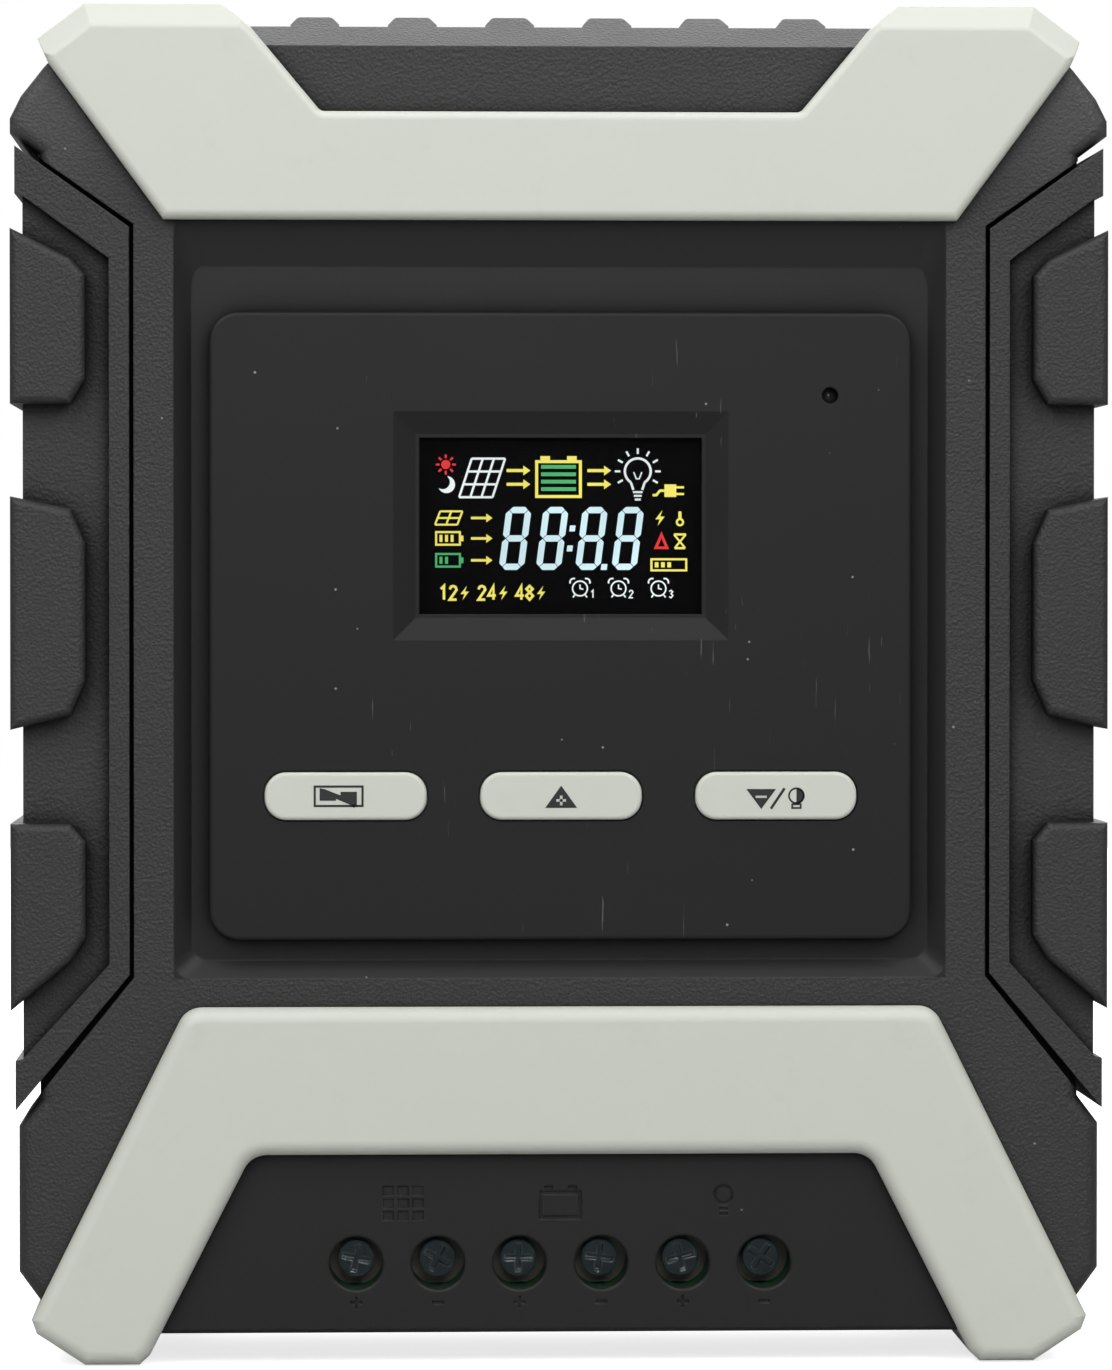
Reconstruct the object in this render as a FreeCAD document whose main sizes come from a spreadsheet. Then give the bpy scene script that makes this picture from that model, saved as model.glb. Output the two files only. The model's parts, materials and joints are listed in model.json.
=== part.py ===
"""Wall-mounted solar charge controller, built as an assembly of separate pieces.

The frame: +Z is up, the front faces -Y and +X is to the viewer's right.  The origin is the centre of
the face that rests on the wall.  A "depth" is a distance out from the wall, so it lies at Y = -depth.
"""

import FreeCAD
import Part
import math
import os
import re
import Sketcher

# Driving dimensions in millimetres: name, value, what it is.
SIZES = [
    # depths out from the wall
    ("Seam", 16.0, "joint between back cover and front cover"),
    ("CoverFace", 48.5, "front face of the front cover"),
    ("StripFace", 48.0, "face of the black strip between the top horns, and of the terminal fascia"),
    ("TrimSeat", 46.5, "face of the front cover under the two trims"),
    ("GripSeat", 45.5, "face of the front cover under the side grips"),
    ("Cavity", 44.0, "inner face of the front cover"),
    ("TrimFace", 50.5, "front face of the two trims"),
    ("DishFloor", 47.0, "floor of the dish around the display plate"),
    ("PlateFace", 49.8, "front face of the display plate"),
    ("PlateBack", 47.6, "back of the display plate's face"),
    ("GripFloor", 47.0, "sunk floor of a side grip"),
    ("PadFace", 50.2, "front face of the raised pads on a grip"),
    # front cover outline
    ("CoverTop", 89.0, "height of the cover's top above the centre"),
    ("CoverBottom", 87.4, "depth of the cover's bottom below the centre"),
    ("CornerWide", 73.9, "half width at the upper corners"),
    ("CornerLow", 74.0, "where the upper corner ends and the grip begins"),
    ("CornerHigh", 82.9, "where the upper corner comes out from under the trim"),
    ("CornerIn", 69.3, "half width there"),
    ("FootWide", 72.8, "half width at the lower corners"),
    ("FootTop", 59.3, "where the lower corner begins below the centre"),
    ("FootBend", 78.9, "where it starts to turn in"),
    ("FootIn", 69.9, "half width where it meets the lower trim"),
    ("FootLow", 82.9, "distance below the centre there"),
    ("SeatWide", 70.0, "half width of the cover under the grips"),
    ("Wall", 2.5, "thickness of the cover's walls"),
    ("EdgeRound", 2.0, "rounding of the cover's front edges"),
    # upper trim
    ("HornTop", 91.3, "top of the horns"),
    ("HornIn", 45.6, "half width where a horn's top begins"),
    ("HornOut", 63.9, "half width where it ends"),
    ("HornTipX", 70.1, "half width at a horn's tip"),
    ("HornTipZ", 86.6, "height of a horn's tip"),
    ("HornHeelX", 68.6, "half width under the tip"),
    ("HornHeelZ", 83.2, "height under the tip"),
    ("BridgeTop", 76.9, "upper edge of the bar between the horns"),
    ("BridgeBottom", 62.4, "lower edge of the bar"),
    ("BridgeTopWide", 32.2, "half width of its upper edge"),
    ("BridgeBottomWide", 53.3, "half width of its lower edge"),
    ("HornBevel", 3.0, "bevel on the horns' upper front edges"),
    ("BridgeRound", 1.2, "corner radius between a horn and the bar"),
    ("TrimRound", 1.2, "rounding of the upper trim's front edges"),
    ("UnderTrim", 4.0, "how far the strip and the fascia run on under the trims"),
    ("TrimDeep", 22.0, "depth at which the trims' sides end"),
    # lower trim
    ("ArchTop", 43.3, "upper edge of the arch below the centre"),
    ("ArchTopWide", 50.3, "half width of its upper edge"),
    ("ArchToeX", 71.1, "half width at a foot's toe"),
    ("ArchToeZ", 85.2, "distance of the toe below the centre"),
    ("ArchSoleOut", 63.9, "half width of the sole, outer end"),
    ("ArchSoleIn", 56.6, "half width of the sole, inner end"),
    ("ArchSole", 91.3, "distance of the sole below the centre"),
    ("ArchHeelX", 55.2, "half width where the inner edge starts"),
    ("ArchHeelZ", 90.0, "distance below the centre there"),
    ("FasciaTop", 63.2, "upper edge of the terminal fascia below the centre"),
    ("FasciaTopWide", 41.6, "half width of its upper edge"),
    ("ArchRound", 3.4, "corner radius of the arch"),
    ("ArchEdge", 2.0, "rounding of the lower trim's front edges"),
    # side grips
    ("GripIn", 57.3, "half width at a grip seat's inner edge"),
    ("GripHigh", 61.8, "upper corner of that edge"),
    ("GripLow", 39.3, "lower corner of that edge below the centre"),
    ("GripGap", 0.6, "open groove around a grip"),
    ("GripOuter", 73.2, "half width over a grip's frame"),
    ("GripTopOuter", 73.0, "height of the frame's upper outer corner"),
    ("GripLowOuter", 57.9, "distance of its lower outer corner below the centre"),
    ("GripSunk", 72.2, "half width over a grip's sunk floor"),
    ("SunkIn", 60.6, "half width at the sunk floor's inner edge"),
    ("SunkHigh", 57.2, "upper corner of the sunk floor"),
    ("SunkLow", 37.5, "lower corner of the sunk floor below the centre"),
    ("SunkHighOuter", 65.6, "upper outer corner of the sunk floor"),
    ("SunkLowOuter", 50.2, "lower outer corner of the sunk floor below the centre"),
    ("PadOuter", 73.8, "half width over the raised pads"),
    ("PadIn", 63.7, "half width at the pads' inner edges"),
    ("PadRound", 1.1, "rounding of the pads' front edges"),
    ("PadCorner", 2.0, "how far a pad's inner corners are cut back"),
    ("HighPadTop", 61.2, "upper end of the highest pad"),
    ("HighPadLow", 37.7, "its lower end"),
    ("MiddlePadTop", 25.3, "upper end of the middle pad"),
    ("MiddlePadLow", 6.0, "distance of its lower end below the centre"),
    ("LowPadTop", 18.6, "distance of the lowest pad's upper end below the centre"),
    ("LowPadLow", 43.7, "distance of its lower end below the centre"),
    # ribs on the top strip
    ("RibPitch", 13.2, "spacing of the six ribs"),
    ("RibFoot", 6.6, "width of a rib at its foot"),
    ("RibCrown", 4.6, "width of a rib at its crown"),
    ("RibRise", 1.6, "height of a rib"),
    ("RibBack", 20.0, "depth at which the ribs start"),
    ("RibRound", 0.8, "rounding of a rib's crown"),
    ("StripDrop", 3.2, "height of the slope on the strip's upper front edge"),
    ("StripSlope", 7.0, "how far that slope runs back"),
    # dish around the display plate
    ("DishWide", 52.0, "half width of the dish at the cover's face"),
    ("DishLow", 39.5, "distance of its lower edge below the centre"),
    ("DishHigh", 63.0, "its upper edge, hidden under the trim"),
    ("DishRamp", 2.4, "width of its sloping sides"),
    ("DishTopRamp", 6.8, "width of its upper ramp"),
    ("DishRound", 5.0, "its corner radius"),
    # display plate
    ("PlateWide", 47.2, "half width of the display plate"),
    ("PlateTop", 50.0, "its upper edge"),
    ("PlateLow", 34.2, "its lower edge below the centre"),
    ("PlateRound", 4.0, "its corner radius"),
    ("PlateSkirt", 3.4, "how far its skirt is set in from its edge"),
    ("SkirtWall", 1.8, "thickness of the skirt"),
    ("PlateEdge", 0.5, "rounding of its front edge"),
    ("BevelWide", 22.5, "half width of the bevel around the window"),
    ("BevelTop", 36.7, "upper edge of the bevel"),
    ("BevelLow", 6.0, "lower edge of the bevel"),
    ("BevelDeep", 1.1, "how far the bevel sinks"),
    ("WindowWide", 19.0, "half width of the display window"),
    ("WindowTop", 33.2, "its upper edge"),
    ("WindowLow", 9.5, "its lower edge"),
    ("LensLap", 2.0, "overlap of the lens behind the plate"),
    ("LensThick", 1.2, "thickness of the lens"),
    ("GlassThick", 1.5, "thickness of the display glass"),
    ("GlassGap", 0.2, "gap between the glass and the lens"),
    ("GlassWide", 22.4, "half width of the display glass"),
    ("GlassLap", 4.0, "how far the glass runs on above and below the window"),
    ("LightInset", 1.0, "how far the backlight is set in from the glass's edge"),
    ("FrameWall", 1.6, "thickness of the display frame's walls"),
    ("LampX", 36.2, "place of the indicator lamp"),
    ("LampZ", 38.9, "height of the indicator lamp"),
    ("LampHole", 1.1, "radius of its hole"),
    ("LampBulb", 1.45, "radius of the lamp itself"),
    ("LampBack", 46.1, "depth of the centre of its dome"),
    # buttons
    ("ButtonPitch", 28.9, "spacing of the three buttons"),
    ("ButtonZ", 14.9, "distance of the buttons below the centre"),
    ("ButtonLong", 21.7, "length of a button"),
    ("ButtonTall", 6.4, "height of a button"),
    ("ButtonRound", 2.9, "corner radius of a button"),
    ("ButtonGap", 0.2, "gap around a button"),
    ("ButtonProud", 0.6, "how far a button stands out of the plate"),
    ("ButtonLip", 1.1, "width of the lip that keeps a button in"),
    ("ButtonBack", 46.0, "back of that lip"),
    ("ButtonEdge", 0.5, "rounding of a button's front edge"),
    ("ButtonTravel", 0.5, "how far a button moves"),
    ("StemR", 1.7, "radius of a switch's stem"),
    ("StemGap", 0.05, "running clearance of the stem"),
    ("SwitchSide", 6.0, "side of a switch's body"),
    ("SwitchTall", 3.5, "height of a switch's body"),
    ("StemTop", 43.6, "depth of the stem's tip"),
    ("StemLong", 2.6, "length of a switch's stem"),
    ("SwitchFloor", 1.6, "thickness of a switch's base"),
    # control board behind the plate
    ("PanelBoardBack", 37.0, "back of the control board"),
    ("PanelBoardWide", 41.0, "its half width"),
    ("PanelBoardTop", 44.6, "its upper edge"),
    ("PanelBoardLow", 28.8, "its lower edge below the centre"),
    ("BoardThick", 1.6, "thickness of the circuit boards"),
    ("PostX", 38.5, "half spacing of the plate's screw posts"),
    ("PostHigh", 26.0, "height of the upper posts"),
    ("PostLow", 25.5, "distance of the lower posts below the centre"),
    ("PostR", 2.6, "radius of a post"),
    ("SmallScrewR", 1.1, "radius of a small screw's shank"),
    ("SmallHeadR", 2.1, "radius of its head"),
    ("SmallHeadTall", 1.4, "height of its head"),
    ("SlotWide", 0.5, "width of the driver slots in small screws"),
    ("SlotLong", 1.3, "length of a cross recess in head radii"),
    ("Slack", 0.1, "clearance around screws and bars"),
    ("ThreadDeep", 2.5, "how far a screw goes into its thread"),
    ("PanelScrewLong", 6.0, "length of the control board's screws"),
    # main board and heat sink
    ("MainBack", 24.0, "back of the main board"),
    ("MainWide", 55.0, "its half width"),
    ("MainTop", 76.0, "its upper edge"),
    ("MainLow", 84.4, "its lower edge below the centre"),
    ("SinkBack", 11.0, "back of the heat sink's base"),
    ("SinkFront", 15.0, "front of the heat sink's base"),
    ("SinkWide", 53.5, "half width of the base"),
    ("SinkTop", 74.0, "upper edge of the base"),
    ("SinkLow", 42.0, "lower edge of the base below the centre"),
    ("FinBack", 1.0, "depth of the fins' tips"),
    ("FinThick", 1.6, "thickness of a fin"),
    ("FinPitch", 8.0, "spacing of the fins"),
    ("FinTop", 70.0, "upper end of the fins"),
    ("FinLow", 38.0, "lower end of the fins below the centre"),
    ("ChannelWide", 49.0, "half width of the air channel in the back"),
    ("ChannelDeep", 8.0, "depth of the air channel"),
    ("ChannelWall", 5.0, "thickness of its side walls"),
    ("BackRound", 1.2, "rounding of the back cover's rear edges"),
    ("BackFloor", 3.0, "thickness of the back cover's floor"),
    ("BackWide", 70.6, "half width of the back cover"),
    ("BackTop", 87.2, "upper edge of the back cover"),
    ("BackLow", 86.4, "lower edge of the back cover below the centre"),
    ("BackCorner", 9.0, "corner bevel of the back cover"),
    ("KeyX", 60.0, "half spacing of the keyholes"),
    ("KeyZ", 51.0, "half spacing of the keyholes' round entries, up and down"),
    ("KeyR", 4.0, "radius of a keyhole's round entry"),
    ("KeySlot", 2.25, "half width of a keyhole's slot"),
    ("KeyRise", 7.0, "length of the slot"),
    ("CaseX", 63.0, "half spacing of the case screws"),
    ("CaseHigh", 70.5, "height of the upper case screws"),
    ("CaseLow", 68.0, "distance of the lower case screws below the centre"),
    ("CasePostR", 4.2, "radius of the posts they enter"),
    ("CaseScrewR", 1.5, "radius of a case screw's shank"),
    ("CaseHeadR", 2.9, "radius of a case screw's head"),
    ("CaseHeadTall", 2.2, "height of a case screw's head"),
    ("CaseSink", 5.0, "depth of the counterbore for the case screws"),
    ("CaseScrewLong", 22.0, "length of a case screw"),
    # terminal block
    ("PolePitch", 11.0, "spacing of the six terminals"),
    ("PoleZ", 77.9, "distance of the terminal screws below the centre"),
    ("AccessR", 3.55, "radius of the screwdriver holes in the fascia"),
    ("AccessRound", 0.4, "rounding of their front edges"),
    ("FasciaThick", 2.5, "thickness of the fascia"),
    ("BlockWide", 35.0, "half width of the terminal block"),
    ("BlockLow", 84.6, "its lower face below the centre"),
    ("BlockHigh", 63.9, "its upper face below the centre"),
    ("BlockFace", 45.2, "its front face"),
    ("ChamberWide", 8.6, "width of a chamber"),
    ("ChamberBack", 26.8, "back of a chamber"),
    ("ChamberFront", 39.6, "front of a chamber"),
    ("ChamberHigh", 66.6, "upper end of a chamber below the centre"),
    ("BoreR", 3.75, "radius of the bore over a screw head"),
    ("CageWide", 8.2, "width of a wire clamp"),
    ("CageTall", 8.0, "height of a wire clamp along the wire"),
    ("CageBack", 27.0, "back of a wire clamp when open"),
    ("CageWall", 1.0, "thickness of its sides"),
    ("CageFloor", 1.2, "thickness of its back"),
    ("CageRoofBack", 34.2, "back of its threaded front wall"),
    ("CageFront", 36.0, "front of the wire clamp when open"),
    ("BarBack", 32.6, "back of the current bar"),
    ("BarThick", 1.2, "thickness of the current bar"),
    ("BarWide", 5.6, "width of the current bar"),
    ("BarLow", 83.6, "lower end of the current bar below the centre"),
    ("BarHigh", 67.4, "upper end of the current bar below the centre"),
    ("ScrewR", 1.95, "radius of a terminal screw's shank"),
    ("ScrewGap", 0.05, "running clearance of the shank in the clamp"),
    ("HeadBack", 39.7, "underside of a terminal screw's head"),
    ("HeadFront", 41.7, "front of a terminal screw's head"),
    ("HeadR", 2.45, "radius of a terminal screw's head"),
    ("EntryBack", 27.6, "back of a cable entry"),
    ("SignZ", 69.8, "height of the signs on the fascia, below the centre"),
    ("SignDeep", 0.15, "depth of those signs"),
    ("MarkZ", 83.2, "height of the plus and minus marks below the centre"),
    ("RecessWide", 0.7, "width of a terminal screw's cross recess"),
    ("RecessDeep", 1.3, "depth of the cross recess"),
    # parts on the heat sink and the main board
    ("SpacerX", 48.0, "half spacing of the main board's spacers"),
    ("SpacerHigh", 70.0, "height of the upper spacers"),
    ("SpacerLow", 38.5, "distance of the lower spacers below the centre"),
    ("SpacerR", 3.0, "radius of a spacer"),
    ("SinkScrewX", 51.2, "half spacing of the heat sink's screws"),
    ("SinkScrewZ", 16.0, "distance of those screws from the spacers' middle height"),
    ("ChipWide", 10.2, "width of a power transistor"),
    ("ChipTall", 15.4, "height of a power transistor's body"),
    ("ChipThick", 4.4, "thickness of a power transistor"),
    ("ChipPitch", 13.0, "spacing of the power transistors"),
    ("ChipLow", 6.0, "distance of their lower ends below the centre"),
    ("PadThick", 0.3, "thickness of the thermal pad"),
    ("LegWide", 0.8, "width of a transistor's leg"),
    ("LegPitch", 2.54, "spacing of the legs"),
    ("LegOut", 3.5, "how far the legs run out before they bend"),
    ("LegRise", 1.6, "height of the legs over the thermal pad"),
    ("ClampTall", 8.0, "height of the clamp bar over the transistors"),
    ("ClampThick", 2.0, "thickness of the clamp bar"),
    ("ClampEnd", 7.0, "how far the clamp bar runs on past the transistors"),
    ("ClampScrewOut", 3.0, "distance of its screws from the outer transistors"),
    ("CanR", 8.0, "radius of a capacitor"),
    ("CanTall", 17.0, "height of a capacitor"),
    ("CanPitch", 21.0, "spacing of the capacitors"),
    ("CanZ", 61.0, "height of the row of capacitors"),
    ("CanEdge", 0.8, "rounding of a capacitor's rims"),
    ("CoilZ", 22.0, "height of the coil's centre"),
    ("CoilX", 33.0, "place of the coil's centre"),
    ("CoilRing", 8.0, "radius of the coil's ring"),
    ("CoilCore", 2.6, "radius of the ring's section"),
    ("CoilWire", 0.6, "radius of the coil's wire"),
    ("FuseX", 16.0, "half spacing of the two fuses"),
    ("FuseZ", 52.5, "distance of the fuses below the centre"),
    ("FuseWide", 19.0, "width of a blade fuse"),
    ("FuseThick", 5.0, "thickness of a blade fuse"),
    ("FuseTall", 11.5, "height of a fuse's body"),
    ("ClipTall", 6.0, "height of a fuse clip"),
    ("ClipWide", 6.4, "width of a fuse clip"),
    ("ClipDeep", 3.0, "its depth along the board"),
    ("BladeWide", 5.0, "width of a fuse's blade"),
    ("BladeThick", 0.8, "thickness of a fuse's blade"),
    ("BladeSlack", 0.01, "clearance of a blade in its clip"),
    ("BladeTip", 0.6, "gap between a blade's tip and the board"),
    ("ShuntX", -31.0, "place of the current shunt"),
    ("ShuntLow", 38.0, "distance of its lower edge below the centre"),
    ("ShuntTall", 5.0, "its height"),
    ("ShuntHalf", 10.2, "half width over its bend"),
    ("ShuntFoot", 12.0, "half width over its feet"),
    ("ShuntRise", 5.2, "how far it stands out from the board"),
    ("ShuntThick", 1.2, "thickness of its metal"),
    ("PlugWide", 14.0, "width of the ribbon cable's plugs"),
    ("PlugTall", 5.0, "height of a plug"),
    ("PlugThick", 3.0, "thickness of a plug"),
    ("RibbonThick", 0.8, "thickness of the ribbon cable"),
    ("EntryFront", 34.6, "front of a cable entry"),
]

# Places of the ribs, in spacings from the middle.
RIB_STEPS = (-2.5, -1.5, -0.5, 0.5, 1.5, 2.5)

# Turns of wire on the coil if it went all the way round; two are left out where its ends come down.
COIL_TURNS = 16
# Radius of the wire as wound, next to its own radius, so that the turns don't touch.
WIRE_FIT = 0.98

# How far each terminal screw's cross is turned, in degrees, from left to right.
SCREW_ANGLES = (12, 28, 0, 8, 75, 35)

# The flat chips on the main board: name, width, thickness, height, then the places of the middle
# across and of the lower edge.
CHIPS = (
    ("main_chip", "12", "1.6", "12", "-26", "14"),
    ("driver_chip", "6", "1.6", "5", "0", "24"),
    ("supply_chip", "9", "2.3", "7", "2", "-24"),
    ("sense_chip", "5", "1.6", "4", "-30", "-22"),
)

NAMES = re.compile(r"\b([A-Z][A-Za-z]+)\b")
Vector = FreeCAD.Vector
doc = FreeCAD.newDocument("charge_controller")


def make_sheet():
    sheet = doc.addObject("Spreadsheet::Sheet", "Sizes")
    for row, (name, value, meaning) in enumerate(SIZES, start=1):
        sheet.set(f"A{row}", name)
        sheet.set(f"B{row}", str(value))
        sheet.setAlias(f"B{row}", name)
        sheet.set(f"C{row}", meaning)
    doc.recompute()


make_sheet()


# ---------------------------------------------------------------- helpers

def formula(text):
    """A formula in the sheet's names, as FreeCAD wants it: Seam + 2 becomes Sizes.Seam + 2."""
    return NAMES.sub(r"Sizes.\1", str(text))


def bind(thing, **formulas):
    for name, text in formulas.items():
        thing.setExpression(name, formula(text))


def new_body(label):
    body = doc.addObject("PartDesign::Body", label)
    body.Label = label
    return body


def new_sketch(body, depth="0", role="XZ_Plane"):
    """A sketch at a depth on the plane that faces the viewer, or on another origin plane."""
    sketch = body.newObject("Sketcher::SketchObject", body.Name + "_sketch")
    plane = [item for item in body.Origin.OriginFeatures if item.Role == role][0]
    sketch.AttachmentSupport = (plane, [""])
    sketch.MapMode = "FlatFace"
    sketch.setExpression("AttachmentOffset.Base.z", formula(depth))
    return sketch


def draw_outline(sketch, points):
    """A closed outline through points; each is a pair of formulas, across and up."""
    first = sketch.GeometryCount
    count = len(points)
    ring = [Vector(math.cos(2 * math.pi * i / count), math.sin(2 * math.pi * i / count), 0)
            for i in range(count)]
    for i in range(count):
        sketch.addGeometry(Part.LineSegment(ring[i], ring[(i + 1) % count]), False)
    for i in range(count):
        sketch.addConstraint(Sketcher.Constraint("Coincident", first + i, 2, first + (i + 1) % count, 1))
    for i, point in enumerate(points):
        for kind, text, guess in zip(("DistanceX", "DistanceY"), point, ring[i]):
            index = sketch.addConstraint(Sketcher.Constraint(kind, -1, 1, first + i, 1, guess))
            sketch.setExpression(f"Constraints[{index}]", formula(text))


def draw_circle(sketch, across, up, radius):
    index = sketch.addGeometry(Part.Circle(Vector(1, 1, 0), Vector(0, 0, 1), 1), False)
    for kind, text in (("DistanceX", across), ("DistanceY", up)):
        place = sketch.addConstraint(Sketcher.Constraint(kind, -1, 1, index, 3, 1.0))
        sketch.setExpression(f"Constraints[{place}]", formula(text))
    size = sketch.addConstraint(Sketcher.Constraint("Radius", index, 1.0))
    sketch.setExpression(f"Constraints[{size}]", formula(radius))


def mirrored(half):
    """The whole outline from its right half, listed from top to bottom."""
    return half + [(f"-({across})", up) for across, up in reversed(half)]


def flipped(points, side):
    """The same outline on the right (side 1) or the left (side -1)."""
    return [(f"{side} * ({across})", up) for across, up in points]


def box_outline(across, up, wide, tall):
    """A rectangle about a centre."""
    return [
        (f"{across} - ({wide}) / 2", f"{up} - ({tall}) / 2"),
        (f"{across} + ({wide}) / 2", f"{up} - ({tall}) / 2"),
        (f"{across} + ({wide}) / 2", f"{up} + ({tall}) / 2"),
        (f"{across} - ({wide}) / 2", f"{up} + ({tall}) / 2"),
    ]


def frame_outline(wide, low, high):
    """A rectangle from half width and its lower and upper edges."""
    return [(f"-({wide})", low), (wide, low), (wide, high), (f"-({wide})", high)]


def grow(body, outlines, back, front, circles=()):
    """Adds material between two depths."""
    sketch = new_sketch(body, back)
    for points in outlines:
        draw_outline(sketch, points)
    for circle in circles:
        draw_circle(sketch, *circle)
    pad = body.newObject("PartDesign::Pad", body.Name + "_pad")
    pad.Profile = sketch
    bind(pad, Length=f"({front}) - ({back})")
    doc.recompute()
    return pad


def cut(body, outlines, front, back, circles=()):
    """Removes material from a front depth down towards the wall."""
    before = body.Shape.Volume
    sketch = new_sketch(body, front)
    for points in outlines:
        draw_outline(sketch, points)
    for circle in circles:
        draw_circle(sketch, *circle)
    pocket = body.newObject("PartDesign::Pocket", body.Name + "_pocket")
    pocket.Profile = sketch
    bind(pocket, Length=f"({front}) - ({back})")
    doc.recompute()
    if body.Shape.Volume > before - 1e-6:
        raise RuntimeError(f"{body.Name}: a cut removed nothing")
    return pocket


def cut_loft(body, near, near_depth, far, far_depth):
    """Removes a sloping-sided hollow between two outlines."""
    sketches = []
    for points, depth in ((near, near_depth), (far, far_depth)):
        sketch = new_sketch(body, depth)
        draw_outline(sketch, points)
        sketches.append(sketch)
    loft = body.newObject("PartDesign::SubtractiveLoft", body.Name + "_hollow")
    loft.Profile = sketches[0]
    loft.Sections = [sketches[1]]
    loft.Ruled = True
    doc.recompute()
    return loft


def edge_names(shape, test):
    return [f"Edge{i}" for i, edge in enumerate(shape.Edges, start=1) if test(edge)]


def dress(body, kind, size, test):
    """Rounds (Fillet) or bevels (Chamfer) the edges that pass a test."""
    base = body.Tip
    names = edge_names(base.Shape, test)
    if not names:
        raise RuntimeError(f"{body.Name}: no edge to {kind}")
    feature = body.newObject(f"PartDesign::{kind}", f"{body.Name}_{kind.lower()}")
    feature.Base = (base, names)
    bind(feature, **{"Radius" if kind == "Fillet" else "Size": size})
    doc.recompute()
    if "Invalid" in feature.State or not feature.Shape.isValid():
        raise RuntimeError(f"{body.Name}: {kind} failed on {names}")
    return feature


def value(name):
    return float(doc.Sizes.get(name))


def at_depth(depth):
    """Tests whether an edge lies wholly at a depth."""
    def test(edge):
        box = edge.BoundBox
        return abs(box.YMin + depth) < 1e-4 and abs(box.YMax + depth) < 1e-4
    return test


def along_depth(edge):
    """Tests whether an edge runs straight out from the wall."""
    box = edge.BoundBox
    return box.XLength < 1e-4 and box.ZLength < 1e-4 and box.YLength > 1e-3


def along_depth_at(points, reach=0.1):
    """Tests whether an edge runs out from the wall over one of some (x, z) places."""
    def test(edge):
        if not along_depth(edge):
            return False
        where = edge.BoundBox.Center
        return any(abs(abs(where.x) - x) < reach and abs(where.z - z) < reach for x, z in points)
    return test


def round_all_corners(body, size):
    dress(body, "Fillet", size, along_depth)


def pieces(label, shapes):
    """Several identical solids that share one node."""
    group = doc.addObject("Part::Compound", label)
    group.Label = label
    group.Links = shapes
    return group


def block(name, wide, deep, tall, across, back, low):
    """A plain rectangular solid centred across, from a back depth and a lowest height."""
    box = doc.addObject("Part::Box", name)
    bind(box, Length=wide, Width=deep, Height=tall)
    bind(box, **{
        "Placement.Base.x": f"({across}) - ({wide}) / 2",
        "Placement.Base.y": f"-({back}) - ({deep})",
        "Placement.Base.z": low,
    })
    return box


def rod(name, radius, across, up, back, front):
    """A round rod that runs out from the wall between two depths."""
    cylinder = doc.addObject("Part::Cylinder", name)
    cylinder.Placement.Rotation = FreeCAD.Rotation(Vector(1, 0, 0), 90)
    bind(cylinder, Radius=radius, Height=f"({front}) - ({back})")
    bind(cylinder, **{
        "Placement.Base.x": across,
        "Placement.Base.y": f"-({back})",
        "Placement.Base.z": up,
    })
    return cylinder


def join(name, shapes):
    fused = doc.addObject("Part::MultiFuse", name)
    fused.Shapes = shapes
    return fused


def remove(name, base, tool):
    left = doc.addObject("Part::Cut", name)
    left.Base = base
    left.Tool = tool
    return left


# ---------------------------------------------------------------- outlines seen from the front

def cover_half():
    return [
        ("CornerIn - 6.7", "CoverTop"),
        ("CornerIn - 1.9", "CornerHigh + 2"),
        ("CornerIn", "CornerHigh"),
        ("CornerWide - 1.5", "CornerLow + 5"),
        ("CornerWide", "CornerLow + 2"),
        ("CornerWide", "CornerLow"),
        ("SeatWide", "CornerLow - 2.9"),
        ("SeatWide", "-FootTop + 3.7"),
        ("FootWide", "-FootTop"),
        ("FootWide", "-FootBend"),
        ("FootIn", "-FootLow"),
        ("FootIn - 6.5", "-CoverBottom"),
    ]


def cavity_half():
    return [
        ("CornerIn - 7.7", "CoverTop - Wall"),
        ("SeatWide - Wall", "CornerHigh - 4"),
        ("SeatWide - Wall", "-FootBend"),
        ("FootIn - 7.7", "-CoverBottom + Wall"),
    ]


def upper_trim_half():
    return [
        ("BridgeTopWide", "BridgeTop"),
        ("HornIn - 4.1", "HornTop - 3.3"),
        ("HornIn", "HornTop"),
        ("HornOut", "HornTop"),
        ("HornTipX", "HornTipZ"),
        ("HornHeelX", "HornHeelZ"),
        ("BridgeBottomWide", "BridgeBottom"),
    ]


def lower_trim_half():
    return [
        ("ArchTopWide", "-ArchTop"),
        ("ArchToeX", "-ArchToeZ"),
        ("ArchToeX - 0.7", "-ArchToeZ - 1.9"),
        ("ArchSoleOut", "-ArchSole"),
        ("ArchSoleIn", "-ArchSole"),
        ("ArchHeelX", "-ArchHeelZ"),
        ("FasciaTopWide", "-FasciaTop"),
    ]


def strip_outline():
    """The strip between the horns; its edges lie under the upper trim."""
    return mirrored([
        ("HornIn", "HornTop"),
        ("BridgeTopWide", "BridgeTop - UnderTrim"),
    ])


def fascia_outline():
    """The terminal fascia; its edges lie under the lower trim."""
    return mirrored([
        ("FasciaTopWide + UnderTrim", "-FasciaTop + UnderTrim"),
        ("ArchHeelX + UnderTrim", "-ArchHeelZ - 2"),
    ])


def grip_seat_outline():
    """The sunk region that a grip lies in, on the right."""
    return [
        ("CornerWide + 2", "CornerLow + 0.8"),
        ("GripIn", "GripHigh"),
        ("GripIn", "-GripLow"),
        ("FootWide + 2", "-FootTop - 1.7"),
    ]


def arch_corners():
    """Places of the lower trim's rounded corners, which the fascia and the seat share."""
    return [(value("ArchTopWide"), -value("ArchTop")), (value("FasciaTopWide"), -value("FasciaTop"))]


def bridge_corners():
    """Places of the upper trim's rounded corners, which its seat shares."""
    return [(value("BridgeTopWide"), value("BridgeTop"))]


def case_screw_places():
    return [(f"{side} * CaseX", up) for side in (1, -1) for up in ("CaseHigh", "-CaseLow")]


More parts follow.
